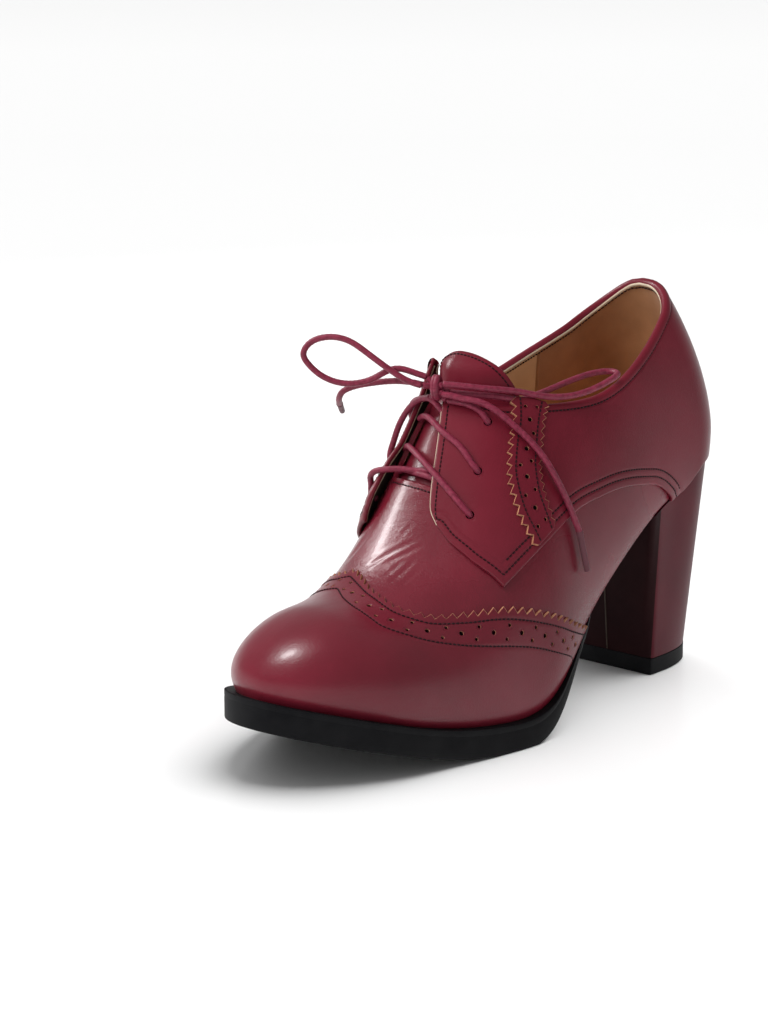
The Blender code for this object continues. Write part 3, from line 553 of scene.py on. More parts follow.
def half_width(s, side):
    table = np.where(np.asarray(side) > 0, LAST["lateral"](s), LAST["medial"](s))
    return table * end_round(s, TOE_ROUND, TOE_POWER) * end_round(LENGTH - s, HEEL_ROUND, HEEL_POWER)


def girth_line(s):
    return LAST["feather"](s) + LAST["girth"](s)


def crest_rise(s):
    return (LAST["crest"](s) - girth_line(s)) * end_round(s, CREST_ROUND, CREST_POWER)


def leaned(s, z):
    """Station of a wall point: the back leans forward above the girth line."""
    blend = smooth_step((s - LEAN_START) / (LENGTH - LEAN_START))
    rise = np.clip((z - girth_line(s)) / (BACK_HEIGHT - LAST["girth"](s)), 0, 2)
    return s - BACK_LEAN * blend * rise**LEAN_POWER


def girth_x(s, side):
    return LAST["crest_x"](s) + side * half_width(s, side)


def plan_normal(s, side):
    """Outward direction of the girth line in plan."""
    s = np.clip(s, END_CLEAR, LENGTH - END_CLEAR)
    rate = (girth_x(s + STEP_S, side) - girth_x(s - STEP_S, side)) / (2 * STEP_S)
    return unit(np.stack([side * np.ones_like(rate), -side * rate], -1))


def surface(s, p):
    """Points of the last's skin at stations and signed reaches."""
    s, p = np.broadcast_arrays(np.asarray(s, float), np.asarray(p, float))
    side = np.where(p >= 0, 1.0, -1.0)
    reach = np.minimum(np.abs(p), 1.0)
    power = LAST["fullness"](s)
    x = LAST["crest_x"](s) + side * half_width(s, side) * reach
    z = girth_line(s) + crest_rise(s) * np.maximum(0, 1 - reach**power) ** (1 / power)
    points = np.stack([x, leaned(s, z), z], -1)
    tuck = np.clip(np.abs(p) - 1, 0, 1) * TUCK_ANGLE
    inward = TUCK * (1 - np.cos(tuck)) / (1 - math.cos(TUCK_ANGLE))
    points[..., :2] -= plan_normal(s, side) * inward[..., None]
    points[..., 2] -= LAST["girth"](s) * np.sin(tuck) / math.sin(TUCK_ANGLE)
    return points


def normals(s, p):
    """Outward normals of the skin."""
    s = np.clip(s, END_CLEAR, LENGTH - END_CLEAR)
    along = surface(s + STEP_S, p) - surface(s - STEP_S, p)
    across = surface(s, p + STEP_P) - surface(s, p - STEP_P)
    return unit(np.cross(across, along))


def place(s, p, height):
    """Points over the skin by a height along its normal."""
    s, p = np.broadcast_arrays(np.asarray(s, float), np.asarray(p, float))
    return surface(s, p) + normals(s, p) * np.asarray(height, float)[..., None]


def reach_at(s, z):
    """Reach at which the skin has height z."""
    power = LAST["fullness"](s)
    rise = np.clip((z - girth_line(s)) / crest_rise(s), 0, 1)
    return np.maximum(0, 1 - rise**power) ** (1 / power)


def collar_reach(s, side):
    return reach_at(s, np.minimum(COLLAR_HEIGHT[side](s), LAST["crest"](s) - CREST_CLEAR))


def girth_station(turn):
    return LENGTH * (1 - np.cos(np.pi * np.asarray(turn, float))) / 2


def plan_loop(count):
    """Girth line as a loop in plan: toe, lateral side, back, medial side."""
    s = girth_station(np.linspace(0, 1, count + 1))
    lateral = np.stack([girth_x(s, LATERAL), s], -1)
    medial = np.stack([girth_x(s, MEDIAL), s], -1)
    return np.concatenate([lateral, medial[1:-1][::-1]])


def outward(loop):
    tangent = np.roll(loop, -1, 0) - np.roll(loop, 1, 0)
    return unit(np.stack([tangent[:, 1], -tangent[:, 0]], -1))


def feather_loop(count, grow=0.0):
    """Plan loop of the feather edge, moved out by grow."""
    loop = plan_loop(count)
    return loop + outward(loop) * (np.asarray(grow, float) - TUCK)[..., None]


def sole_rim(count):
    """Plan loop of the outsole."""
    station = plan_loop(count)[:, 1]
    fade = smooth_step((RIM_FADE[1] - station) / (RIM_FADE[1] - RIM_FADE[0]))
    return feather_loop(count, (RIM + TUCK) * fade)


cad_rim = sole_rim(CAD_RIBS)
SHIFT = np.array([
    (cad_rim[:, 0].min() + cad_rim[:, 0].max()) / 2,
    (cad_rim[:, 1].min() + LENGTH) / 2,
    0.0,
])


def to_model(points):
    """Shoe millimetres to model metres."""
    return (np.asarray(points, float) - SHIFT) * MM


# Meshes
class Shell:
    """Collects grids of points, in shoe millimetres, into one piece."""

    def __init__(self):
        self.points = []
        self.faces = []
        self.slots = []
        self.count = 0

    def grid(self, points, slot=0, wrap=False, facing=None):
        """Quads over a grid of points; facing gives outward directions for all of it or for each point."""
        points = np.asarray(points, float)
        rows, width = points.shape[:2]
        index = np.arange(rows * width).reshape(rows, width) + self.count
        if wrap:
            index = np.concatenate([index, index[:, :1]], 1)
        quads = np.stack([index[:-1, :-1], index[:-1, 1:], index[1:, 1:], index[1:, :-1]], -1)
        quads = quads.reshape(-1, 4)
        if facing is not None:
            across = np.gradient(points, axis=1)
            along = np.gradient(points, axis=0)
            if (np.cross(across, along) * facing).sum() < 0:
                quads = quads[:, ::-1]
        self.points.append(points.reshape(-1, 3))
        self.faces.append(quads)
        self.slots.append(np.full(len(quads), slot))
        self.count += rows * width

    def tube(self, rings, slot=0):
        """Tube through rings of points, turned outwards."""
        rings = np.asarray(rings, float)
        self.grid(rings, slot, wrap=True, facing=rings - rings.mean(1, keepdims=True))

    def make(self, name, materials, record_slot, replaces=(), sharp=SHARP):
        mesh = bpy.data.meshes.new(name)
        points = to_model(np.concatenate(self.points))
        mesh.from_pydata(points.tolist(), [], np.concatenate(self.faces).tolist())
        mesh.polygons.foreach_set("material_index", np.concatenate(self.slots).astype(np.int32))
        build = bmesh.new()
        build.from_mesh(mesh)
        bmesh.ops.remove_doubles(build, verts=build.verts, dist=WELD)
        build.to_mesh(mesh)
        build.free()
        mesh.shade_smooth()
        mesh.set_sharp_from_angle(angle=math.radians(sharp))
        for material in materials:
            mesh.materials.append(material)
        piece = bpy.data.objects.new(name, mesh)
        bpy.context.scene.collection.objects.link(piece)
        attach(piece, "root")
        if replaces:
            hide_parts(*replaces)
        return piece


def curl(base, normal, height, axis, end):
    """Adds rows beyond one edge of a sheet, rolled down to the layer below."""
    turn = -1 if end == 0 else 1
    base, normal, height = (np.moveaxis(a, axis, 0)[::turn] for a in (base, normal, height))
    out = unit(base[-1] - base[-2])
    radius = height[-1] / 2
    base = np.concatenate([base, [base[-1] + out * (radius * math.cos(a))[..., None] for a in FOLD_ANGLES]])
    height = np.concatenate([height, [radius * (1 + math.sin(a)) for a in FOLD_ANGLES]])
    normal = np.concatenate([normal, [normal[-1]] * len(FOLD_ANGLES)])
    return tuple(np.moveaxis(a[::turn], 0, axis) for a in (base, normal, height))


def cut_wall(shell, line, inner, normal, top, depth, slot):
    """Raw edge of a cut sheet: a bevel that shows the cut, then a wall down to the layer below."""
    out = unit(line - inner)
    rows = [line + out * step + normal * (top - depth * share)[:, None] for step, share in RAW_PROFILE]
    shell.grid(rows, slot, facing=out + normal / 2)


def circle(count, side, up):
    """Directions evenly round an axis, from its two cross directions."""
    angle = np.linspace(0, 2 * np.pi, count, endpoint=False)
    return np.cos(angle)[:, None] * side + np.sin(angle)[:, None] * up


def frames(path):
    """Two cross directions along a path, carried without twist."""
    tangent = unit(np.gradient(path, axis=0))
    side = np.cross(tangent[0], UP)
    if np.linalg.norm(side) < NEAR_UPRIGHT:
        side = np.cross(tangent[0], (1.0, 0.0, 0.0))
    sides = []
    for direction in tangent:
        side = unit(side - direction * (side @ direction))
        sides.append(side)
    return np.array(sides), np.cross(tangent, sides)


def tube_rings(path, radius, sides, flat=1.0):
    """Rings round a path; radius may vary by ring and side."""
    side, up = frames(path)
    radius = np.broadcast_to(np.asarray(radius, float), (len(path), sides))
    return path[:, None] + radius[..., None] * circle(sides, side[:, None] * flat, up[:, None])


def add_lace(shell, path, radius=LACE / 2, closed=False):
    """Round braided lace along a path, with domed ends."""
    along = run_length(path)
    angle = np.linspace(0, 2 * np.pi, LACE_SIDES, endpoint=False)
    turn = 2 * np.pi * along[:, None] / (2 * BRAID_PITCH)
    braid = np.abs(np.sin(2 * angle + turn) * np.sin(2 * angle - turn))
    rings = radius * (1 - BRAID_DEPTH * (1 - braid))
    if not closed:
        near = np.minimum(along, along[-1] - along) / (DOME_SHARE * radius)
        rings = rings * np.sqrt(np.clip(near * (2 - np.clip(near, 0, 1)), 0, 1))[:, None]
    shell.tube(tube_rings(path, rings, LACE_SIDES))


def add_stitches(shell, points, normal):
    """Thread stitches along a line of points with outward normals."""
    along = run_length(points)
    centres = np.arange(STITCH_PITCH / 2, along[-1], STITCH_PITCH)

    def sample(values):
        return np.stack([np.interp(centres, along, values[:, i]) for i in range(3)], -1)

    up = unit(sample(normal))
    ahead = unit(sample(np.gradient(points, axis=0)))
    for centre, forward, sideways, upward in zip(sample(points), ahead, np.cross(ahead, up), up):
        around = circle(STITCH_SIDES, sideways, upward)
        rings = []
        for step, girth, lift in STITCH_PROFILE:
            core = centre + forward * (step * STITCH_HALF) + upward * (lift * STITCH_RADIUS)
            rings.append(core + STITCH_RADIUS * girth * around)
        shell.tube(rings)


def stitch_places(shell, s, p, height):
    """Stitches along places on the last."""
    add_stitches(shell, place(s, p, height), normals(s, p))


def add_hole(shell, s, p, height, radius, kind):
    """Punched hole: a soft lip, a raw wall (painted shade in lace holes), and a lower wall and floor in
    painted shade, laid over a pit in the sheet.
    """
    wall_slot, lip, depth = kind
    centre = place(s, p, height)
    up = normals(np.array(s), np.array(p))
    side = unit(np.cross(up, HOLE_AXIS))
    ring = circle(HOLE_SIDES, side, np.cross(up, side))
    rim = [(radius + lip * share + step, z) for share, step, z in HOLE_RIM]
    wall, floor = (radius * WALL_SHARE, -WALL_DEPTH), (radius * FLOOR_SHARE, -depth)
    # Slot 2 is the near-black painted shade at the bottom of the hole
    parts = (
        (rim, 0, up), ((rim[-1], wall), wall_slot, None), ((wall, floor), 2, None),
        ((floor, (0.0, -depth)), 2, up),
    )
    for profile, slot, facing in parts:
        rings = [centre + ring * r + up * z for r, z in profile]
        shell.grid(rings, slot, wrap=True, facing=facing)


def sink_pits(base, height, pits, depth=PIT_DEPTH):
    """Lowers a sheet under its punched holes."""
    height = height.copy()
    for s, p, radius in pits:
        distance = np.linalg.norm(base - surface(s, p), axis=-1)
        height -= depth * smooth_step((radius + PIT_SLACK - distance) / PIT_EDGE)
    return height


# Materials

# Stations between which the folds of the leather die away, and how much of folds, coat and gloss stays behind
CREASE_FADE = (90.0, 112.0)
BACK_FOLDS, BACK_COAT, BACK_GLOSS = 0.02, 0.3, 0.45
# Relief of a leather: strength of the grain and of the folds, scale and stretch of the folds
EVEN_RELIEF = (0.22, 0.12, 170, (1.0, 0.4, 0.6))
CREASED_RELIEF = (0.40, 0.36, 250, (0.35, 1.0, 1.0))
GRAIN_SCALE, GRAIN_DEPTH, FOLD_DETAIL, FOLD_DEPTH = 1350, 0.00012, 6, 0.0008
COAT_ROUGHNESS, LINING_SHEEN = 0.14, 0.20
# Clouds of colour: detail, place of the light end in the ramp and spread of the roughness
LEATHER_SCALE, LEATHER_LOOK, PLAIN_LOOK, DARK_END = 32, (4, 0.72, 0.05), (5, 0.70, 0.06), 0.30
FINE_SCALE, FINE_DETAIL, FINE_STRENGTH = 14, 3, 0.5


def node_material(name, colour, roughness):
    material = bpy.data.materials.new(name)
    material.use_nodes = True
    shader = material.node_tree.nodes["Principled BSDF"]
    shader.inputs["Base Color"].default_value = (*colour, 1.0)
    shader.inputs["Roughness"].default_value = roughness
    return material, material.node_tree, shader


def add_texture(tree, kind, scale, detail=3.0, stretch=(1, 1, 1)):
    """Procedural texture on object coordinates, scale in features per metre."""
    coordinates = tree.nodes.new("ShaderNodeTexCoord")
    mapping = tree.nodes.new("ShaderNodeMapping")
    mapping.inputs["Scale"].default_value = stretch
    texture = tree.nodes.new(kind)
    texture.inputs["Scale"].default_value = scale
    if "Detail" in texture.inputs:
        texture.inputs["Detail"].default_value = detail
    tree.links.new(coordinates.outputs["Object"], mapping.inputs["Vector"])
    tree.links.new(mapping.outputs["Vector"], texture.inputs["Vector"])
    return texture


def add_ramp(tree, source, stops):
    ramp = tree.nodes.new("ShaderNodeValToRGB")
    for element, (position, colour) in zip(ramp.color_ramp.elements, stops):
        element.position = position
        element.color = (*colour, 1.0)
    tree.links.new(source, ramp.inputs["Fac"])
    return ramp


def add_bump(tree, shader, sources):
    """Chain of bumps: (texture output, strength, distance in metres)."""
    previous = None
    for source, strength, distance in sources:
        bump = tree.nodes.new("ShaderNodeBump")
        bump.inputs["Strength"].default_value = strength
        bump.inputs["Distance"].default_value = distance
        tree.links.new(source, bump.inputs["Height"])
        if previous:
            tree.links.new(previous.outputs["Normal"], bump.inputs["Normal"])
        previous = bump
    tree.links.new(previous.outputs["Normal"], shader.inputs["Normal"])


def vary(tree, socket, source, low, high):
    """Lets a source between 0 and 1 drive a socket from a low to a high value."""
    spread = tree.nodes.new("ShaderNodeMapRange")
    spread.inputs["To Min"].default_value = low
    spread.inputs["To Max"].default_value = high
    tree.links.new(source, spread.inputs["Value"])
    tree.links.new(spread.outputs["Result"], socket)


def clouded(name, dark, light, rough, scale, look, stretch=(1, 1, 1)):
    """Material with uneven colour and roughness; look holds detail, place of the light end and spread."""
    detail, light_end, spread = look
    material, tree, shader = node_material(name, light, rough)
    cloud = add_texture(tree, "ShaderNodeTexNoise", scale, detail, stretch).outputs["Fac"]
    ramp = add_ramp(tree, cloud, ((DARK_END, dark), (light_end, light)))
    tree.links.new(ramp.outputs["Color"], shader.inputs["Base Color"])
    vary(tree, shader.inputs["Roughness"], cloud, rough - spread, rough + spread)
    return material, tree, shader


def leather(name, dark, light, rough, coat, specular, relief=EVEN_RELIEF):
    """Smooth finished leather: fine grain, faint creases and uneven colour."""
    grain, creases, scale, stretch = relief
    material, tree, shader = clouded(name, dark, light, rough, LEATHER_SCALE, LEATHER_LOOK)
    cells = add_texture(tree, "ShaderNodeTexVoronoi", GRAIN_SCALE).outputs["Distance"]
    fold = add_texture(tree, "ShaderNodeTexNoise", scale, FOLD_DETAIL, stretch)
    front = front_share(tree)
    folds = tree.nodes.new("ShaderNodeMath")
    folds.operation = "MULTIPLY"
    tree.links.new(front, folds.inputs[0])
    tree.links.new(fold.outputs["Fac"], folds.inputs[1])
    vary(tree, shader.inputs["Coat Weight"], front, coat * BACK_COAT, coat)
    vary(tree, shader.inputs["Specular IOR Level"], front, specular * BACK_GLOSS, specular)
    bumps = (cells, grain, GRAIN_DEPTH), (folds.outputs["Value"], creases, FOLD_DEPTH)
    add_bump(tree, shader, bumps)
    shader.inputs["Coat Roughness"].default_value = COAT_ROUGHNESS
    return material


def fade_along(tree, space, axis, span, values):
    """Value that goes from one to another over a span of one axis of texture coordinates."""
    coordinates = tree.nodes.new("ShaderNodeTexCoord")
    parts = tree.nodes.new("ShaderNodeSeparateXYZ")
    fade = tree.nodes.new("ShaderNodeMapRange")
    for name, value in zip(("From Min", "From Max", "To Min", "To Max"), (*span, *values)):
        fade.inputs[name].default_value = value
    tree.links.new(coordinates.outputs[space], parts.inputs["Vector"])
    tree.links.new(parts.outputs[axis], fade.inputs["Value"])
    return fade.outputs["Result"]


def front_share(tree):
    """One in front of the bend of the foot, falling to almost nothing behind it."""
    span = [to_model((0.0, station, 0.0))[1] for station in CREASE_FADE]
    return fade_along(tree, "Object", "Y", span, (1.0, BACK_FOLDS))


def plain(name, dark, light, rough, scale, bump, specular=0.5, stretch=(1, 1, 1)):
    """Matte material with fine uneven colour and relief."""
    material, tree, shader = clouded(name, dark, light, rough, scale, PLAIN_LOOK, stretch)
    fine = add_texture(tree, "ShaderNodeTexNoise", scale * FINE_SCALE, FINE_DETAIL, stretch)
    add_bump(tree, shader, ((fine.outputs["Fac"], FINE_STRENGTH, bump),))
    shader.inputs["Specular IOR Level"].default_value = specular
    return material


WINE = (0.122, 0.008, 0.017), (0.166, 0.012, 0.025)
# Leathers: name, dark and light colour, roughness, coat and gloss
LEATHERS = {
    "leather": ("burgundy_leather", *WINE, 0.30, 0.12, 0.32),
    "vamp": ("creased_leather", *WINE, 0.27, 0.24, 0.35, CREASED_RELIEF),
    "heel": ("heel_leather", (0.075, 0.009, 0.015), (0.105, 0.014, 0.022), 0.42, 0.05, 0.18),
    # Near-black breast of the heel: painted shade on the heel's front face
    "breast": ("heel_breast", (0.016, 0.005, 0.006), (0.026, 0.008, 0.009), 0.55, 0.0, 0.10),
}
# Matte materials: name, dark and light colour, roughness, features per metre, depth of the relief and gloss
PLAINS = {
    "lining": ("lining_tan", (0.340, 0.150, 0.058), (0.480, 0.225, 0.096), 0.78, 60, 0.00012),
    "lining_front": ("lining_beige", (0.680, 0.430, 0.235), (0.800, 0.540, 0.315), 0.62, 45, 0.00008),
    # Dark brown for the inside of the lifted facings and the breast seam: painted shade in the gap under the
    # facing and on the breast
    "facing_lining": ("facing_lining", (0.030, 0.018, 0.011), (0.055, 0.034, 0.021), 0.70, 60, 0.00008),
    # Cream lining edge; on the lateral facing the same tube is a painted highlight along the top of the fold
    "cream_and_painted_highlight": ("lining_edge_and_painted_highlight", (0.560, 0.450, 0.320), (0.700, 0.580, 0.430), 0.55, 200, 0.00006),
    "raw": ("raw_edge", (0.290, 0.110, 0.060), (0.520, 0.255, 0.145), 0.80, 420, 0.00010, 0.2),
    "thread": ("dark_thread", (0.012, 0.002, 0.004), (0.024, 0.005, 0.008), 0.55, 900, 0.00004, 0.2),
    # Near-black hole floor: painted shade where the layer under a punched hole lies in its shadow
    "dark": ("hole_dark", (0.006, 0.003, 0.003), (0.012, 0.005, 0.005), 0.90, 600, 0.00004, 0.1),
    "sole": ("sole_black", (0.005, 0.005, 0.006), (0.010, 0.010, 0.011), 0.58, 90, 0.00006, 0.08),
    "lace": ("waxed_lace", (0.140, 0.010, 0.028), (0.250, 0.027, 0.060), 0.45, 700, 0.00012, 0.35),
    "aglet": (
        "aglet_plastic", (0.115, 0.045, 0.055), (0.170, 0.072, 0.088), 0.50, 260, 0.00003, 0.03, (1, 1, 0.2),
    ),
}


MATERIALS = {key: leather(*row) for key, row in LEATHERS.items()}
MATERIALS.update({key: plain(*row) for key, row in PLAINS.items()})
lining_shader = MATERIALS["lining"].node_tree.nodes["Principled BSDF"]
lining_shader.inputs["Sheen Weight"].default_value = LINING_SHEEN


def pick(*names):
    return [MATERIALS[name] for name in names]


# Camera, light and floor
def back_direction(azimuth, elevation):
    level = math.cos(elevation)
    return Vector((math.sin(azimuth) * level, -math.cos(azimuth) * level, math.sin(elevation)))


def make_camera():
    target = Vector(to_model(TARGET))
    location = target + back_direction(AZIMUTH, ELEVATION) * CAMERA_DISTANCE * MM
    azimuth = AZIMUTH + math.atan2(TARGET_PIXEL[0] - IMAGE[0] / 2, FOCAL_PIXELS)
    elevation = ELEVATION + math.atan2(IMAGE[1] / 2 - TARGET_PIXEL[1], FOCAL_PIXELS)
    back = back_direction(azimuth, elevation)
    right = Vector((math.cos(azimuth), math.sin(azimuth), 0.0))
    turn = Matrix((right, back.cross(right), back)).transposed()
    data = bpy.data.cameras.new("photo_camera")
    data.sensor_width = SENSOR
    data.lens = FOCAL_PIXELS * SENSOR / max(IMAGE)
    data.clip_start = CLIP_START
    camera = bpy.data.objects.new("photo_camera", data)
    camera.matrix_world = Matrix.Translation(location) @ turn.to_4x4()
    bpy.context.scene.collection.objects.link(camera)
    bpy.context.scene.camera = camera


# Softboxes: azimuth and elevation in degrees, distance, size, power and roll
LIGHTS = {
    "key_box": (-76, 33.5, 1.2, (0.58, 0.17), 9.5, -37),
    "toe_box": (-45, 66, 1.2, (0.17, 0.17), 7.0, 0),
    "left_box": (-108, 25, 1.3, (0.80, 0.60), 4.5, 0),
}
# The toe's box only makes gloss on these pieces, and the key box only on the others
TOE_PIECES = ("wing_panel", "wing_stitching")
# Suns by azimuth, elevation, spread and strength, one for the shoe and one for the floor
SUNS = {"shoe_sun": (-30, 50, 50, 3.1), "floor_sun": (165, 66, 60, 3.25)}
SUN_DISTANCE = 3.0
SKY_HORIZON, SKY_TOP, SKY_BAND = 1.0, 0.34, 0.24
LIGHT_TARGET = (0.0, 0.0, 0.07)
FLOOR_HALF, FLOOR_COLOUR, FLOOR_ROUGHNESS, FLOOR_GLOSS = 30.0, (0.94, 0.94, 0.94), 0.22, 0.25


def make_stage():
    scene = bpy.context.scene
    for name, (azimuth, elevation, distance, size, power, roll) in LIGHTS.items():
        data = bpy.data.lights.new(name, "AREA")
        data.shape = "RECTANGLE"
        data.size, data.size_y = size
        data.energy = power
        light = aim_light(name, data, azimuth, elevation, distance, roll)
        light.visible_glossy = name != "left_box"
    for name, (azimuth, elevation, spread, strength) in SUNS.items():
        data = bpy.data.lights.new(name, "SUN")
        data.angle = math.radians(spread)
        data.energy = strength
        aim_light(name, data, azimuth, elevation, SUN_DISTANCE).visible_glossy = False
    scene.world = make_sky()
    scene.view_settings.view_transform = "Standard"
    mesh = bpy.data.meshes.new("floor")
    corners = [(x * FLOOR_HALF, y * FLOOR_HALF, 0.0) for x, y in ((-1, -1), (1, -1), (1, 1), (-1, 1))]
    mesh.from_pydata(corners, [], [(0, 1, 2, 3)])
    material, _, shader = node_material("studio_floor", FLOOR_COLOUR, FLOOR_ROUGHNESS)
    shader.inputs["Specular IOR Level"].default_value = FLOOR_GLOSS
    mesh.materials.append(material)
    floor = bpy.data.objects.new("floor", mesh)
    scene.collection.objects.link(floor)
    light_only("floor_sun", [floor])


def aim_light(name, data, azimuth, elevation, distance, roll=0):
    """Places a light round the shoe, turns it to its middle and rolls it."""
    away = back_direction(math.radians(azimuth), math.radians(elevation))
    light = bpy.data.objects.new(name, data)
    light.location = Vector(LIGHT_TARGET) + away * distance
    facing = (-away).to_track_quat("-Z", "Y").to_matrix() @ Matrix.Rotation(math.radians(roll), 3, "Z")
    light.rotation_euler = facing.to_euler()
    bpy.context.scene.collection.objects.link(light)
    return light


def light_only(name, pieces):
    """Keeps a light to some pieces."""
    group = bpy.data.collections.new(name + "_pieces")
    for piece in pieces:
        group.objects.link(piece)
    light = bpy.data.objects[name]
    light.light_linking.receiver_collection = group
    return light


def make_sky():
    """White at the horizon, dimmer above, so that gloss keeps its depth."""
    world = bpy.data.worlds.new("studio")
    world.use_nodes = True
    tree = world.node_tree
    sky = tree.nodes["Background"]
    sky.inputs["Color"].default_value = (1.0, 1.0, 1.0, 1.0)
    strength = fade_along(tree, "Generated", "Z", (0.0, SKY_BAND), (SKY_HORIZON, SKY_TOP))
    tree.links.new(strength, sky.inputs["Strength"])
    return world


def share_light(pieces):
    """Keeps the shoe's sun off the floor and gives each gloss box its own pieces, one highlight each."""
    shoe = [piece for piece in pieces if piece.name != "floor"]
    light_only("shoe_sun", shoe)
    toe = [piece for piece in shoe if piece.name in TOE_PIECES]
    rest = [piece for piece in shoe if piece.name not in TOE_PIECES]
    for name, lit in (("toe_box", toe), ("key_box", rest)):
        light_only(name, lit).visible_diffuse = False


# Free lace
def make_aglet(name, route, tip):
    """Hard tip on a lace end, with a collar that grips the braid."""
    start = np.asarray(route[-1], float)
    reach = np.asarray(tip, float) - start
    length = np.linalg.norm(reach)
    direction = unit(reach)
    side = unit(np.cross(direction, UP))
    around = circle(AGLET_SIDES, side, np.cross(direction, side))
    middle = (AGLET_MIDDLE[0] * length, AGLET_MIDDLE[1])
    profile = (*AGLET_PROFILE, middle, *((length - back, share) for back, share in AGLET_TIP))
    shell = Shell()
    shell.tube([start + direction * along + AGLET_RADIUS * share * around for along, share in profile])
    return shell.make(name + "_tip", pick("aglet"), "aglet", (name,), AGLET_SHARP)


def make_cord(name, route):
    path = smooth_route(route)
    shell = Shell()
    add_lace(shell, path)
    piece = shell.make(name + "_braid", pick("lace"), "lace", (name,), LACE_SHARP)


def make_free_lace():
    make_cord("lace_loop_lateral", LOOP_LATERAL_ROUTE)
    make_cord("lace_loop_medial", LOOP_MEDIAL_ROUTE)
    lateral = make_aglet("aglet_lateral", END_LATERAL_ROUTE, AGLET_LATERAL_TIP)
    make_cord("lace_end_lateral", END_LATERAL_ROUTE)
    medial = make_aglet("aglet_medial", END_MEDIAL_ROUTE, AGLET_MEDIAL_TIP)
    make_cord("lace_end_medial", END_MEDIAL_ROUTE)


def make_knot():
    """Bow knot: the strands inside it and the wraps round them."""
    shell = Shell()
    starts = (LOOP_LATERAL_ROUTE[0], LOOP_LATERAL_ROUTE[-1], END_LATERAL_ROUTE[0])
    ends = (LOOP_MEDIAL_ROUTE[0], END_MEDIAL_ROUTE[0], LOOP_MEDIAL_ROUTE[-1])
    for start, end in zip(starts, ends):
        add_lace(shell, smooth_route((start, KNOT_CENTRE, end)))
    for side in (LATERAL, MEDIAL):
        inside = np.add(KNOT_CENTRE, KNOT_INSIDE)
        add_lace(shell, smooth_route((TOP_STRANDS[side][-1], inside, KNOT_CENTRE)))
    forward = unit(np.array(KNOT_FORWARD))
    angle = np.linspace(0, 2 * np.pi, KNOT_SAMPLES)
    for offset in KNOT_OFFSETS:
        ring = np.array(KNOT_CENTRE) + (offset, 0.0, 0.0) + np.cos(angle)[:, None] * forward * KNOT_RADII[0]
        add_lace(shell, ring + np.sin(angle)[:, None] * UP * KNOT_RADII[1], closed=True)
    shell.make("lace_bow_knot", pick("lace"), "lace", ("lace_knot",), LACE_SHARP)


def make_through_lace():
    """Lace through the holes: crossings, the bar and the strands up to the knot."""
    shell = Shell()
    for rows in CROSSINGS:
        add_lace(shell, smooth_route([place(*row) for row in rows]))
    for side in (LATERAL, MEDIAL):
        start = [place(*row) for row in TOP_STARTS[side]]
        add_lace(shell, smooth_route([*start, *TOP_STRANDS[side]]))
    nodes = ("lace_top_lateral", "lace_top_medial", "lace_bar", "lace_crossing_1", "lace_crossing_2")
    shell.make("lace_through_holes", pick("lace"), "lace", nodes, LACE_SHARP)


# Upper
def opening_place(turn, side):
    """Station and reach of the throat and collar edge."""
    table = columns(OPENING_COLUMNS, OPENING_ROWS)
    name = SIDE_NAMES[side]
    s = np.interp(turn, table["turn"], table["s_" + name])
    q = np.interp(turn, table["turn"], table["q_" + name])
    upright = float(girth_station(UPRIGHT_TURN))
    bridged = np.interp(turn, (COLLAR_TURN, UPRIGHT_TURN), (table["s_" + name][-1], upright))
    past = np.where(turn < UPRIGHT_TURN, bridged, girth_station(turn))
    s = np.where(turn <= COLLAR_TURN, s, past)
    return s, np.where(turn <= COLLAR_TURN, q, collar_reach(s, side))


def reach_of(x, s):
    """Signed reach, up to the girth line, of a place x beside the crest."""
    away = x - LAST["crest_x"](s)
    return np.clip(away / np.maximum(half_width(s, np.where(away >= 0, 1, -1)), 1e-6), -1, 1)


def upper_side(side):
    """Stations and reaches of the upper's wall on one side: a row for each level, a column for each rib."""
    turn = np.linspace(0, 1, UPPER_RIBS + 1)
    level = 1 - (1 - np.linspace(0, 1, UPPER_ROWS)[:, None]) ** ROW_POWER
    rho = 1 - np.cos(level * np.pi / 2)
    foot = girth_station(turn)
    edge_s, edge_q = opening_place(turn, side)
    s = foot + (edge_s - foot) * rho
    foot_x = girth_x(foot, side)
    edge_x = LAST["crest_x"](edge_s) + side * half_width(edge_s, side) * edge_q
    fanned = reach_of(foot_x + (edge_x - foot_x) * rho, s)
    upright = side * reached(1 - (1 - turned(edge_q)) * level)
    p = np.where(turn >= UPRIGHT_TURN, upright, fanned)
    p[0] = side
    tuck = side * np.linspace(2, 1, TUCK_ROWS + 1)[:-1, None] * np.ones_like(turn)
    return np.concatenate([np.broadcast_to(foot, tuck.shape), s]), np.concatenate([tuck, p])


LINING_SEAM, LINING_SEAM_RADIUS, LINING_SEAM_FLAT, LINING_SEAM_SIDES = 191.0, 0.55, 1.4, 10
LINING_SEAM_GAP, LINING_SEAM_FOOT, LINING_SEAM_DEPTH, LINING_SEAM_POINTS = 0.02, 1.6, 0.1, 60


def crease_height(skin):
    """Soft troughs with a low ridge on each side, along the creases of the vamp."""
    table = columns(CREASE_COLUMNS, CREASE_ROWS)
    height = np.zeros(skin.shape[:2])
    share = np.linspace(0, 1, CREASE_SAMPLES)
    fade = smooth_step(np.minimum(share, 1 - share) / CREASE_FADE_SHARE)
    for number, depth in enumerate(table["depth"]):
        s = table["from_s"][number] + (table["to_s"][number] - table["from_s"][number]) * share
        p = table["from_p"][number] + (table["to_p"][number] - table["from_p"][number]) * share
        distances = np.stack([np.linalg.norm(skin - point, axis=-1) for point in surface(s, p)])
        away = distances.min(0) / table["width"][number]
        ridge = np.exp(-(((away - RIDGE_AWAY) / RIDGE_WIDTH) ** 2))
        trough = np.exp(-away**2) - RIDGE_SHARE * ridge
        height -= depth * fade[distances.argmin(0)] * trough
    return height


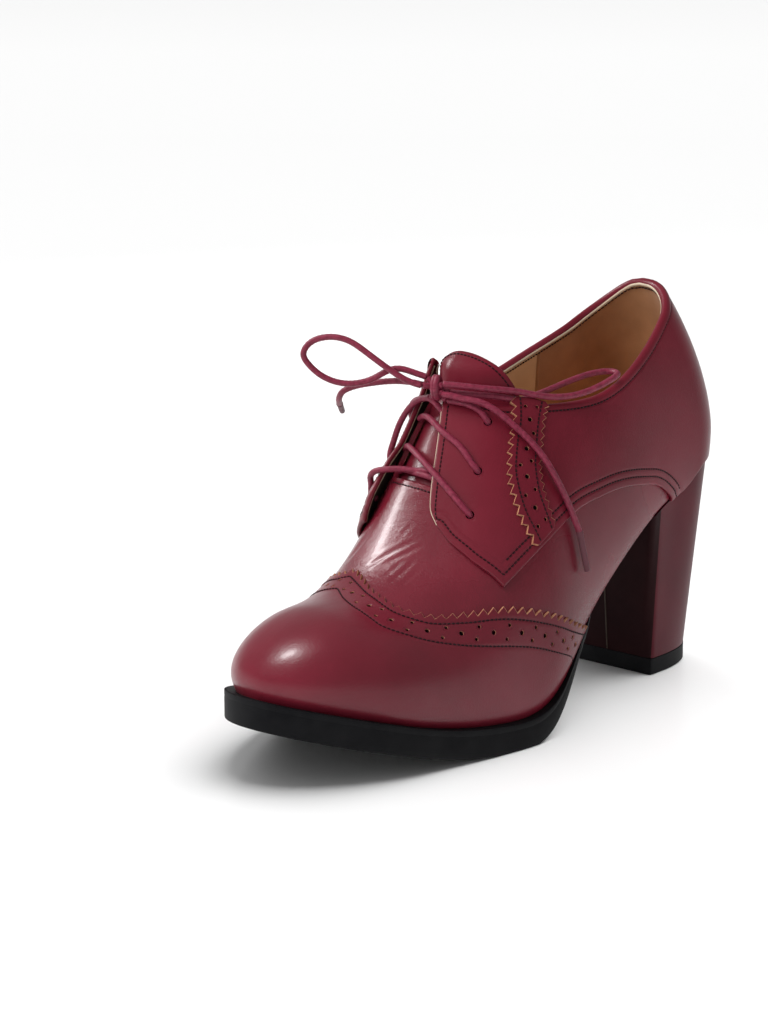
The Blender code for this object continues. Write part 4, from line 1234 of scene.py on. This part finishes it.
def make_upper():
    """Vamp and lining: one lasted shell, its outer skin in leather, with a sewn lip at the throat."""
    shell = Shell()
    thread = Shell()
    for side in (LATERAL, MEDIAL):
        s, p = upper_side(side)
        normal = normals(s, p)
        skin = surface(s, p)
        inner = skin - normal * WALL
        height = crease_height(skin) - COVER_DEPTH * smooth_step((COVER_END - s) / COVER_FADE)
        outer = skin + normal * height[..., None]
        shell.grid(outer, 0, facing=normal)
        beyond = outer[-1] + unit(outer[-1] - outer[-2]) * THROAT_LIP
        high = beyond - normal[-1] * THROAT_LIP
        low = beyond - normal[-1] * (WALL - THROAT_LIP)
        lip = np.stack([outer[-1], high, low, inner[-1]])
        shell.grid(lip, 0, facing=lip - (outer[-2] + inner[-2]) / 2)
        split = int(np.searchsorted(s[TUCK_ROWS], LINING_SEAM))
        levels = np.unique(np.append(np.arange(0, len(inner), LINING_STEP), len(inner) - 1))
        wall, inward = inner[levels], -normal[levels]
        shell.grid(wall[:, :split + 1], 2, facing=inward[:, :split + 1])
        shell.grid(wall[:, split:], 1, facing=inward[:, split:])
        margin = outer[0].copy()
        margin[:, :2] -= plan_normal(s[0], side) * MARGIN
        under = np.stack([outer[0], margin]) - (0.0, 0.0, MARGIN_DROP)
        shell.grid(under, 0, facing=-UP)
        ribs = slice(0, THROAT_RIBS)
        from_top = grid_run(outer[::-1, ribs], 0)[::-1]
        sheet = {"from_top": from_top, "base": outer[:, ribs], "normal": normal[:, ribs]}
        add_stitches(thread, *contour(sheet, "from_top", THROAT_STITCH, np.zeros(from_top.shape)))
    shell.make("upper_vamp_and_lining", pick("vamp", "lining", "lining_front"), "leather_upper", ("upper",))
    thread.make("throat_stitching", pick("thread"), "leather_upper")


def side_curves(rows, names, side_sign):
    """Smooth curves of a table's columns by the share of the first line's length; reaches come as turns."""
    table = columns(names, rows)
    line = surface(table[names[0]], side_sign * table[names[1]])
    share = run_length(line) / run_length(line)[-1]
    curves = {}
    for name in names:
        values = table[name] if name.endswith("_s") else turned(table[name])
        curves[name] = steady(share, values)
    return curves, run_length(line)[-1]


def band_shares(length):
    """Shares along a pinked band and the depth of its teeth at each."""
    count = int(round(length / TOOTH_PERIOD)) * TOOTH_STEPS
    phase = np.arange(count + 1) % TOOTH_STEPS / TOOTH_STEPS
    return np.linspace(0, 1, count + 1), (1 - np.abs(2 * phase - 1)) * TOOTH_DEPTH


def band_lines(curves, names, share):
    """Stations and turns of a band's two lines at shares of its length."""
    return [np.stack([curves[name + "_s"](share), curves[name + "_p"](share)], -1) for name in names]


def punch(shell, curves, names, length, holes, top, side=1):
    """Punches a row of holes along a band and gives their places."""
    pits = []
    for share, w, radius in band_holes(length, *holes):
        near, far = band_lines(curves, names, share)
        s, turn = near * (1 - w) + far * w
        p = side * reached(turn)
        pits.append((s, p, radius))
        add_hole(shell, s, p, top, radius, BAND_HOLE)
    return pits


def wing_grid(curves, length, side):
    """Stations and reaches of the wing on one side and the depth of its stitch grooves."""
    share, teeth = band_shares(length)
    edge, line = band_lines(curves, WING_LINES, share)
    width = band_width(edge, line)
    tooth = teeth / width
    w = np.linspace(0, 1, BAND_ROWS)[:, None]
    w = w * (1 + tooth) - tooth
    band = edge * (1 - w[..., None]) + line * w[..., None]
    band[..., 1] = reached(band[..., 1])
    line_p = reached(line[:, 1])
    foot_s = curves["foot_s"](share)
    foot_p = side * np.maximum(1, np.abs(line_p))
    rho = np.sin(np.linspace(0, np.pi / 2, CAP_ROWS + 1))[1:, None]
    s = line[:, 0] + (foot_s - line[:, 0]) * rho
    line_x = LAST["crest_x"](line[:, 0]) + line_p * half_width(line[:, 0], np.sign(line_p))
    fanned = reach_of(line_x + (girth_x(foot_s, side) - line_x) * rho, s)
    straight = reached(line[:, 1] + (turned(foot_p) - line[:, 1]) * rho)
    blend = smooth_step((np.abs(line_p) - SIDE_REACH) / SIDE_BLEND)
    p = fanned * (1 - blend) + straight * blend
    p[-1] = foot_p
    low = np.linspace(0, 1, TUCK_ROWS + 1)[1:, None]
    tuck_p = foot_p + (2 * side - foot_p) * low
    tuck = np.stack([np.broadcast_to(foot_s, tuck_p.shape), tuck_p], -1)
    places = np.concatenate([band, np.stack([s, p], -1), tuck])
    groove = np.zeros(places.shape[:2])
    groove[:BAND_ROWS] = dent(w * width - EDGE_STITCH) + dent((1 - w) * width)
    return places, groove


def band_width(edge, line):
    """Distance between two lines of stations and turns."""
    start = surface(edge[:, 0], reached(edge[:, 1]))
    return np.linalg.norm(start - surface(line[:, 0], reached(line[:, 1])), axis=-1)


def dent(distance):
    """Shallow groove that a row of stitches pulls into a sheet."""
    return GROOVE_DEPTH * np.exp(-(distance / GROOVE_WIDTH) ** 2)


def band_holes(length, pair, middle):
    """Rows of punched holes along a band: pairs of small ones and single large ones in turn."""
    holes = []
    for number, along in enumerate(np.arange(HOLE_START, length - HOLE_START, HOLE_PITCH)):
        if number % 2:
            holes.append((along / length, middle, HOLE_LARGE))
        else:
            holes.extend((along / length, w, HOLE_SMALL) for w in pair)
    return holes


def relax(grid, weight):
    """Evens out a grid of points as far as the weights allow."""
    for _ in range(EVEN_PASSES):
        around = grid.copy()
        around[1:-1, 1:-1] = (grid[:-2, 1:-1] + grid[2:, 1:-1] + grid[1:-1, :-2] + grid[1:-1, 2:]) / 4
        grid = grid + (around - grid) * weight[..., None]
    return grid


def join_halves(halves):
    """Medial and lateral grids as one, joined over the toe at the mean of their first columns."""
    lateral, medial = halves[LATERAL], halves[MEDIAL]
    seam = (lateral[:, :1] + medial[:, :1]) / 2
    return np.concatenate([medial[:, :0:-1], seam, lateral[:, 1:]], 1)


def make_wing():
    """Wing over the toe: pinked raw edge, punched band, two stitch lines."""
    shell = Shell()
    thread = Shell()
    outer, facing, station = {}, {}, {}
    for side in (LATERAL, MEDIAL):
        curves, length = side_curves(WING_ROWS[side], WING_COLUMNS, 1)
        places, groove = wing_grid(curves, length, side)
        s, p = places[..., 0], places[..., 1]
        base = surface(s, p)
        normal = normals(s, p)
        pits = punch(shell, curves, WING_LINES, length, WING_HOLES, WING_HEIGHT)
        height = sink_pits(base, WING_HEIGHT - groove, pits)
        outer[side], facing[side], station[side] = base + normal * height[..., None], normal, s
        cut_wall(shell, base[0], base[1], normal[0], height[0], WING_HEIGHT + WING_SINK, 1)
        edge, line = band_lines(curves, WING_LINES, np.linspace(0, 1, LINE_SAMPLES))
        inner = edge + (line - edge) * np.minimum(EDGE_STITCH / band_width(edge, line), 1)[:, None]
        for row in (inner, line):
            level = WING_HEIGHT - GROOVE_DEPTH * GROOVE_SHARE
            stitch_places(thread, row[:, 0], reached(row[:, 1]), level)
    points = join_halves(outer)
    row = np.arange(len(points))[:, None] - BAND_ROWS
    weight = smooth_step((TOE_EVEN - join_halves(station)) / TOE_FADE) * smooth_step(row / EVEN_ROWS) / 2
    shell.grid(relax(points, weight), 0, facing=join_halves(facing))
    # Slot 2 paints the shade inside the punched holes
    shell.make("wing_panel", pick("leather", "raw", "dark"), "leather_upper")
    thread.make("wing_stitching", pick("thread"), "leather_upper")


def quarter_edge(side):
    """Lower edge of a quarter: stations and turns by the share u, with a corner at the facing's tip."""
    table = columns(QUARTER_COLUMNS, QUARTER_ROWS[side])
    tip = int(np.argmin(np.abs(table["u"] - TIP_U)))
    curves = []
    for part in (slice(0, tip + 1), slice(tip, None)):
        u = table["u"][part]
        curves.append((steady(u, table["lower_s"][part]), steady(u, turned(table["lower_q"][part]))))

    def value(u):
        before = np.asarray(u) <= TIP_U
        return tuple(np.where(before, curves[0][i](u), curves[1][i](u)) for i in (0, 1))

    return value, steady(table["u"], table["top_s"])


def quarter_grid(side):
    """Stations and signed reaches of a quarter, blended from its four edges, with its shares u and v."""
    table = columns(FRONT_COLUMNS, FRONT_ROWS[side])
    lower, top_station = quarter_edge(side)
    even = np.linspace(0, 1, QUARTER_GRID[0])
    rows = 0.5 * even + 0.25 * (1 - np.cos(np.pi * even))
    v, u = np.meshgrid(rows, np.linspace(0, 1, QUARTER_GRID[1]), indexing="ij")
    lower_s, lower_t = lower(u)
    front_s = steady(table["v"], table["s"])(v)
    front_t = steady(table["v"], turned(table["q"]))(v)
    top_s = top_station(u)
    top_t = turned(collar_reach(top_s, side))
    top_t = top_t + (front_t[-1, 0] - top_t[0, 0]) * np.exp(-u / TOP_BLEND)
    back_s = np.full(v.shape, LENGTH)
    back_t = lower_t[0, -1] + (top_t[0, -1] - lower_t[0, -1]) * v
    grids = []
    for low, high, near, far in ((lower_s, top_s, front_s, back_s), (lower_t, top_t, front_t, back_t)):
        blend = (1 - v) * low + v * high + (1 - u) * near + u * far
        corner_low = (1 - u) * low[0, 0] + u * low[0, -1]
        corner_high = (1 - u) * high[0, 0] + u * high[0, -1]
        grids.append(blend - (1 - v) * corner_low - v * corner_high)
    return grids[0], side * reached(np.clip(grids[1], 0, turned(2.0))), u, v


def quarter_sheet(side):
    """Quarter as arrays: places, lifted base, normals, height and distances from its edges and its seam."""
    s, p, u, v = quarter_grid(side)
    skin = surface(s, p)
    normal = normals(s, p)
    table = columns(FRONT_COLUMNS, FRONT_ROWS[side])
    from_front = grid_run(skin, 1)
    from_low = grid_run(skin, 0)
    from_top = from_low[-1] - from_low
    seam = skin[0, u[0] <= SEAM_END_U]
    from_seam = np.min([np.linalg.norm(skin - point, axis=-1) for point in seam], axis=0)
    lift = steady(table["v"], table["lift"])(v) * np.exp(-(from_front / LIFT_FADE) ** 2)
    height = quarter_height(u) - dent(from_top - COLLAR_STITCH)
    height = height - sum(dent(from_seam - distance) for distance in SEAM_STITCHES)
    return {
        "s": s, "p": p, "u": u, "base": skin + normal * lift[..., None], "normal": normal, "lift": lift,
        "height": height, "from_front": from_front, "from_seam": from_seam, "from_top": from_top,
    }


def read_along(sheet, name, distance, values, axis=0):
    """Values of a sheet along the line at a distance from one of its edges."""
    field = sheet[name]
    if axis:
        field, values = field.T, values.swapaxes(0, 1)
    if field[0, 0] > field[-1, 0]:
        field, values = field[::-1], values[::-1]
    values = values.reshape(*field.shape, -1)
    line = []
    for near, column in zip(field.T, values.swapaxes(0, 1)):
        line.append([np.interp(distance, near, row) for row in column.T])
    return np.array(line)


def contour(sheet, name, distance, height, axis=0):
    """Line on a sheet at a distance from one of its edges, with its normals."""
    top = sheet["base"] + sheet["normal"] * height[..., None]
    normal = read_along(sheet, name, distance, sheet["normal"], axis)
    return read_along(sheet, name, distance, top, axis), unit(normal)


def quarter_height(u):
    """Thickness of a quarter over the last, thinner at the back."""
    thick = smooth_step((THICK_END - u) / THICK_FADE)
    return BACK_HEIGHT_LAYER + (QUARTER_HEIGHT - BACK_HEIGHT_LAYER) * thick


def make_quarters():
    """Quarter and facing of each side: folded edges, lace holes, stitching, pinked strip."""
    for side in (LATERAL, MEDIAL):
        name = SIDE_NAMES[side]
        shell = Shell()
        thread = Shell()
        sheet = quarter_sheet(side)
        base, normal, low = sheet["base"], sheet["normal"], sheet["height"]
        skin = surface(sheet["s"], sheet["p"])
        pits = []
        for hole_s, hole_q in LACE_HOLES[side]:
            gap = np.linalg.norm(skin - surface(hole_s, side * hole_q), axis=-1)
            pits.append((hole_s, side * hole_q, LACE_HOLE_RADIUS))
            top = sheet["lift"].ravel()[gap.argmin()] + QUARTER_HEIGHT
            # Lace holes: their walls and floors are in painted shade (slot 2)
            add_hole(shell, hole_s, side * hole_q, top, LACE_HOLE_RADIUS, LACE_HOLE)
        height = sink_pits(skin, low, pits, LACE_PIT_DEPTH)
        points, facing, level = curl(*curl(base, normal, height, 0, 0), 1, 0)
        shell.grid(points + facing * level[..., None], 0, facing=facing)
        lifted = int((sheet["lift"].max(0) > LIFT_SHOWN).sum())
        inside = base + normal * INSIDE_GAP
        shell.grid(inside[:, :TURNED_COLUMNS + 1], 0, facing=-normal[:, :TURNED_COLUMNS + 1])
        # Beyond the turned-over leather the inside of the facing is painted dark: painted shade in the gap
        # under the lifted facing
        shell.grid(inside[:, TURNED_COLUMNS:lifted], 4, facing=-normal[:, TURNED_COLUMNS:lifted])
        out = unit(base[:, 0] - base[:, 1])
        # Pale tube along the front edge: on the lateral side a painted highlight on top of the fold, on the
        # medial side the cream edge of the lining
        if side == LATERAL:
            edge = base[:, 0] + out * PAINTED_HIGHLIGHT_EDGE[0] + normal[:, 0] * PAINTED_HIGHLIGHT_EDGE[1]
        else:
            edge = base[:, TURNED_COLUMNS] - normal[:, TURNED_COLUMNS] * EDGE_RADIUS
        shell.tube(tube_rings(edge, EDGE_RADIUS, EDGE_SIDES), 3)
        for distance, start in zip(SEAM_STITCHES, SEAM_STARTS):
            points, facing = contour(sheet, "from_seam", distance, low)
            away = read_along(sheet, "from_seam", distance, sheet["from_front"])[:, 0]
            keep = (sheet["u"][0] > start) & (sheet["from_seam"][0] < distance)
            keep &= away > FRONT_STITCH - STITCH_MEET
            add_stitches(thread, points[keep], facing[keep])
        sunk = low - SUNK_STITCH if side == MEDIAL else low
        points, facing = contour(sheet, "from_front", FRONT_STITCH, sunk, 1)
        away = read_along(sheet, "from_front", FRONT_STITCH, sheet["from_seam"], 1)[:, 0]
        keep = away > SEAM_STITCHES[0] - STITCH_MEET
        keep[-STITCH_STOP:] = False
        add_stitches(thread, points[keep], facing[keep])
        points, facing = contour(sheet, "from_top", COLLAR_STITCH, low)
        add_stitches(thread, points[STITCH_STOP:], facing[STITCH_STOP:])
        add_strip(shell, thread, side)
        # Slot 4 is the painted shade inside the lifted facing
        materials = pick("leather", "raw", "dark", "cream_and_painted_highlight", "facing_lining")
        shell.make("quarter_" + name, materials, "leather_upper", ("facing_" + name,))
        thread.make("quarter_stitching_" + name, pick("thread"), "leather_upper")


def add_strip(shell, thread, side):
    """Pinked and punched strip sewn over a quarter."""
    curves, length = side_curves(STRIP_ROWS[side], STRIP_COLUMNS, side)
    share, teeth = band_shares(length)
    front, back = band_lines(curves, STRIP_LINES, share)
    width = band_width(front, back)
    tooth = teeth / width
    w = np.linspace(0, 1, STRIP_LEVELS)[:, None]
    w = w + w * (STRIP_BACK_TOOTH * tooth) - (1 - w) * (STRIP_FRONT_TOOTH * tooth)
    places = front * (1 - w[..., None]) + back * w[..., None]
    s, p = places[..., 0], side * reached(places[..., 1])
    base = surface(s, p)
    normal = normals(s, p)
    top = QUARTER_HEIGHT + STRIP_HEIGHT
    pits = punch(shell, curves, STRIP_LINES, length, STRIP_HOLES, top, side)
    height = sink_pits(base, np.full(s.shape, top), pits)
    shell.grid(base + normal * height[..., None], 0, facing=normal)
    depth = STRIP_HEIGHT + STRIP_SINK
    for row, inner in ((0, 1), (-1, -2)):
        cut_wall(shell, base[row], base[inner], normal[row], height[row], depth, 1)
        cut_wall(shell, base[:, row], base[:, inner], normal[:, row], height[:, row], depth, 0)
    for line, other in ((front, back), (back, front)):
        inner = line + (other - line) * (STRIP_STITCH / width)[:, None]
        stitch_places(thread, inner[:, 0], side * reached(inner[:, 1]), top)


# Profile of the rolled topline: height over the skin and rise above the edge
COLLAR_PROFILE = (
    (1.04, -2.0), (1.14, -1.2), (1.1, -0.2), (0.8, 0.55), (0.3, 0.95), (-0.5, 0.95), (-1.2, 0.60),
    (-1.7, 0.05), (-1.85, -0.6),
)
EDGE_RADIUS, EDGE_SIDES = 0.27, 8
EDGE_PROFILE = ((-1.80, 0.05), (-2.15, -0.15), (-2.30, -0.6), (-2.20, -1.1), (-1.85, -1.3))
# Middle of the roll, inward and down from the edge
ROLL_IN, ROLL_DOWN = 0.3, 0.8
LINING_STITCH, LINING_STITCH_DEPTH = 2.1, 0.05


def sweep(shell, base, normal, height, profile, slot):
    """Profile carried along the topline: shares of the height outside, millimetres inside, and rise."""
    tangent = unit(np.gradient(base, axis=0))
    rise = unit(np.cross(normal, tangent))
    rise = rise * np.sign(rise[:, 2:3])
    rows = []
    for out, up in profile:
        rows.append(base + normal * (out * height if out > 0 else out + 0 * height)[:, None] + rise * up)
    rows = np.stack(rows)
    shell.grid(rows, slot, facing=rows - (base - normal * ROLL_IN - rise * ROLL_DOWN)[None])


def make_collar():
    """Rolled topline with the pale edge of the lining inside it."""
    shell = Shell()
    thread = Shell()
    sheets = {side: quarter_sheet(side) for side in (LATERAL, MEDIAL)}

    def joined(values):
        return np.concatenate([values[LATERAL], values[MEDIAL][-2::-1]])

    base = joined({side: sheet["base"][-1] for side, sheet in sheets.items()})
    normal = joined({side: sheet["normal"][-1] for side, sheet in sheets.items()})
    height = joined({side: quarter_height(sheet["u"][-1]) for side, sheet in sheets.items()})
    sweep(shell, base, normal, height, COLLAR_PROFILE, 0)
    sweep(shell, base, normal, height, EDGE_PROFILE, 1)
    for sheet in sheets.values():
        depth = np.full(sheet["u"].shape, -WALL - LINING_STITCH_DEPTH)
        points, facing = contour(sheet, "from_top", LINING_STITCH, depth)
        add_stitches(thread, points[STITCH_STOP:], -facing[STITCH_STOP:])
    shell.make("collar_edge", pick("leather", "cream_and_painted_highlight"), "leather_upper")
    thread.make("collar_stitching", pick("thread"), "leather_upper")


def make_lining_seam():
    """Overlapped seam of the lining on each side."""
    shell = Shell()
    for side in (LATERAL, MEDIAL):
        start = float(collar_reach(LINING_SEAM, side)) + LINING_SEAM_GAP
        q = np.linspace(start, LINING_SEAM_FOOT, LINING_SEAM_POINTS)
        path = place(np.full(q.shape, LINING_SEAM), side * q, -WALL - LINING_SEAM_DEPTH)
        shell.tube(tube_rings(path, LINING_SEAM_RADIUS, LINING_SEAM_SIDES, LINING_SEAM_FLAT))
    shell.make("lining_seam", pick("lining"), "lining")


def make_tongue():
    table = columns(TONGUE_COLUMNS, TONGUE_ROWS)
    across = np.linspace(-1, 1, TONGUE_GRID[1])[None]
    top = TONGUE_TOP + TONGUE_CORNER * np.maximum(across, 0) ** 2
    s = TONGUE_START + (top - TONGUE_START) * np.linspace(0, 1, TONGUE_GRID[0])[:, None]
    lateral = np.interp(s, table["station"], table["q_lateral"])
    p = across * np.where(across >= 0, lateral, np.interp(s, table["station"], table["q_medial"]))
    skin = surface(s, p)
    above = (skin[..., 2] - COLLAR_HEIGHT[LATERAL](s) - FLARE_START) / FLARE_RISE
    corner = CORNER_LIFT * smooth_step((s - CORNER_START) / CORNER_LENGTH) * np.maximum(-across, 0)
    base_height = TONGUE_FLARE * smooth_step(above) + corner - TONGUE_DEPTH - TONGUE_THICK
    normal = normals(s, p)
    inner = skin + normal * base_height[..., None]
    shell = Shell()
    sheet = curl(inner, normal, np.full(s.shape, TONGUE_THICK), 0, -1)
    for end in (0, -1):
        sheet = curl(*sheet, 1, end)
    points, facing, level = sheet
    shell.grid(points + facing * level[..., None], 0, facing=facing)
    shell.grid(inner, 1, facing=-normal)
    shell.make("tongue_panel", pick("leather", "lining_front"), "leather_upper", ("tongue",))
    thread = Shell()
    row = TONGUE_STITCH_ROW, slice(TONGUE_STITCH_STOP, -TONGUE_STITCH_STOP)
    add_stitches(thread, (inner + normal * TONGUE_THICK)[row], normal[row])
    thread.make("tongue_stitching", pick("thread"), "leather_upper")


# Sole and heel
def cut_loop(loop, end):
    """Toe part of a plan loop, cut straight across at a station."""
    count = len(loop) // 2
    lateral = loop[:count + 1]
    medial = np.concatenate([loop[:1], loop[count:][::-1]])
    sides = []
    for line in (lateral, medial):
        keep = line[line[:, 1] < end]
        sides.append(np.concatenate([keep, [(np.interp(end, line[:, 1], line[:, 0]), end)]]))
    size = min(len(sides[0]), len(sides[1])) - 1
    lateral, medial = (np.concatenate([line[:size], line[-1:]]) for line in sides)
    return np.concatenate([lateral, medial[1:][::-1]])


def close_ring(shell, ring, facing):
    """Closes a loop of points by rungs across from point 0."""
    half = (len(ring) + 1) // 2
    near = ring[:half]
    far = np.concatenate([ring[:1], ring[::-1]])[:half]
    share = np.linspace(0, 1, RUNGS)[:, None, None]
    shell.grid(near * (1 - share) + far * share, facing=facing)


def solid(rings):
    """Closed block through rings from its foot to its top."""
    shell = Shell()
    shell.tube(rings)
    close_ring(shell, rings[0], -UP)
    close_ring(shell, rings[-1], UP)
    return shell


def make_outsole():
    rim = cut_loop(sole_rim(SOLE_RIBS), BREAST_TOP - GAP)
    s = rim[:, 1]
    normal = outward(rim)
    rim = rim - normal * (WAIST_INSET * smooth_step((s - INSET_FROM) / INSET_LENGTH))[:, None]
    thick = WAIST_THICK + (SOLE_THICK - WAIST_THICK) * smooth_step((THIN_TO - s) / (THIN_TO - THIN_FROM))
    top = LAST["feather"](s) - GAP
    foot = np.maximum(0.0, LAST["feather"](s) - thick)
    share = smooth_step((s - THIN_FROM) / (THIN_TO - THIN_FROM))
    wheel = WHEEL_DEPTH * np.sin(2 * np.pi * run_length(rim) / WHEEL_PITCH)
    rings = []
    for outset, level in SOLE_PROFILE:
        plan = rim + normal * (outset * (1 - WAIST_FLAT * share))[:, None]
        z = foot + (top - foot) * level
        z = np.minimum(z, LAST["feather"](plan[:, 1]) - GAP)
        if level > WHEEL_LEVEL and outset > WHEEL_INSET:
            z = z + wheel * (1 - share)
        rings.append(np.column_stack([plan, z]))
    shell = solid(rings)
    shell.make("outsole_edge_and_tread", pick("sole"), "sole_rubber", ("outsole",), SOLE_SHARP)


def soften(loop, width):
    """Closed loop with its corners rounded over a width."""
    closed = np.concatenate([loop, loop[:1]])
    dense = resample(closed, SOFT_SAMPLES + 1)[:-1]
    reach = max(1, int(width * SOFT_SAMPLES / run_length(closed)[-1]))
    rounded = np.mean([np.roll(dense, k, 0) for k in range(-reach, reach + 1)], 0)
    return resample(np.concatenate([rounded, rounded[:1]]), HEEL_POINTS + 1)[:-1]


def heel_foot_loop(grow=0.0):
    """D-shaped foot of the heel, from the middle of the back."""
    angle = np.linspace(np.pi / 2, 0, FOOT_POINTS)
    s = BREAST_FOOT - grow + (HEEL_DEPTH + 2 * grow) * np.sin(angle) ** (2 / HEEL_FOOT_POWER)
    x = (HEEL_HALF_WIDTH + grow) * np.cos(angle) ** (2 / HEEL_FOOT_POWER)
    half = np.column_stack([x, s])
    return np.concatenate([half, half[1:][::-1] * np.array([-1.0, 1.0])])


def seat_reach(s):
    """Reach at which the heel meets the upper: the feather edge, rising a little at the back."""
    return 2 - SEAT_RISE * smooth_step((s - SEAT_FROM) / SEAT_LENGTH)


def heel_seat_loop():
    """Top of the heel under the upper, from the middle of the back."""
    share = np.linspace(0, 1, SEAT_POINTS)
    s = LENGTH - (LENGTH - BREAST_TOP) * share**2
    halves = [place(s, side * seat_reach(s), SEAT_LIP) - (0.0, 0.0, SEAT_GAP) for side in (LATERAL, MEDIAL)]
    return np.concatenate([halves[0], halves[1][1:][::-1]])


HEEL_CORNER, LIFT_CORNER = 2.2, 0.7
SEAT_RISE, SEAT_SHARE, SEAT_FROM, SEAT_LENGTH = 0.66, 0.965, 202.0, 25.0
BREAST_DEPTH = 0.8
# Seam up the breast: from one place to another, over the lift and under the upper
SEAM_FOOT_X, SEAM_TOP_X, SEAM_OUT, SEAM_RADIUS = 3.5, 6.8, 0.05, 0.3
SEAM_ABOVE, SEAM_BELOW, SEAM_POINTS, SEAM_SIDES = 0.3, 1.0, 60, 8
# Lift of the heel: levels with a smaller foot and top
LIFT_GROW, LIFT_INSET, LIFT_LOW, LIFT_HIGH = 0.1, -0.5, 0.5, 0.3
# Gap between heel and lift as a share of the part's gap
LIFT_GAP_SHARE = 0.2


def make_heel():
    """Wrapped heel with a breast and seam darkened as painted shade, on a rubber lift."""
    foot = soften(heel_foot_loop(), HEEL_CORNER)
    high = soften(heel_seat_loop(), HEEL_CORNER)
    low = np.column_stack([foot, np.full(len(foot), LIFT_HEIGHT + GAP * LIFT_GAP_SHARE)])
    shell = Shell()
    rings = np.stack([low + (high - low) * t for t in np.linspace(0, 1, HEEL_LEVELS)])
    breast = np.flatnonzero(foot[:, 1] < BREAST_FOOT + BREAST_DEPTH)
    first, last = breast[0], breast[-1]
    body = np.concatenate([rings[:, last:], rings[:, :first + 1]], 1)
    shell.grid(body, 0, facing=body - rings.mean(1, keepdims=True))
    # The breast faces take the near-black breast leather: painted shade
    shell.grid(rings[:, first:last + 1], 2, facing=TO_TOE)
    close_ring(shell, rings[0], -UP)
    seat = rings[-1].copy()
    middle = seat[:, :2].mean(0)
    seat[:, :2] = middle + (seat[:, :2] - middle) * SEAT_SHARE
    seat[:, 2] = np.minimum(seat[:, 2], LAST["feather"](seat[:, 1]) - GAP)
    shell.tube([rings[-1], seat])
    close_ring(shell, seat, UP)
    seam_low = np.array((SEAM_FOOT_X, BREAST_FOOT - SEAM_OUT, LIFT_HEIGHT + SEAM_ABOVE))
    seam_high = np.array((SEAM_TOP_X, BREAST_TOP - SEAM_OUT, LAST["feather"](BREAST_TOP) - SEAM_BELOW))
    seam = np.linspace(seam_low, seam_high, SEAM_POINTS)
    # The breast seam takes the dark shaded lining colour: painted shade
    shell.tube(tube_rings(seam, SEAM_RADIUS, SEAM_SIDES), 1)
    cover = pick("heel", "facing_lining", "breast")
    shell.make("heel_cover", cover, "heel_cover", ("heel",), HEEL_SHARP)
    lift = soften(heel_foot_loop(LIFT_GROW), LIFT_CORNER)
    inset = soften(heel_foot_loop(LIFT_INSET), LIFT_CORNER)
    levels = ((inset, 0.0), (lift, LIFT_LOW), (lift, LIFT_HEIGHT - LIFT_HIGH), (inset, LIFT_HEIGHT))
    shell = solid([np.column_stack([loop, np.full(len(loop), z)]) for loop, z in levels])
    shell.make("heel_lift_block", pick("sole"), "sole_rubber", ("heel_lift",), LIFT_SHARP)


def make_sock():
    """Sock lining over the insole, its edge turned up to the wall."""
    loop = feather_loop(SOCK_RIBS, -SOCK_INSET)
    station = np.clip(loop[:, 1], 0, LENGTH)
    centre_s = np.clip(station, SOCK_END, LENGTH - SOCK_END)
    centre = np.column_stack([LAST["crest_x"](station) * SOCK_CENTRE, centre_s])
    rings = []
    for share, lift in SOCK_RINGS:
        plan = centre + (loop - centre) * share
        z = LAST["feather"](np.clip(plan[:, 1], 0, LENGTH)) + INSOLE_TOP + lift
        rings.append(np.column_stack([plan, z]))
    shell = Shell()
    shell.grid(rings, 0, wrap=True, facing=UP)
    shell.make("sock_lining", pick("lining"), "lining", ("insole",))


make_camera()
make_stage()
make_free_lace()
make_knot()
make_through_lace()
make_upper()
make_wing()
make_quarters()
make_collar()
make_lining_seam()
make_tongue()
make_outsole()
make_heel()
make_sock()
share_light([piece for piece in bpy.context.scene.objects if piece.type == "MESH"])
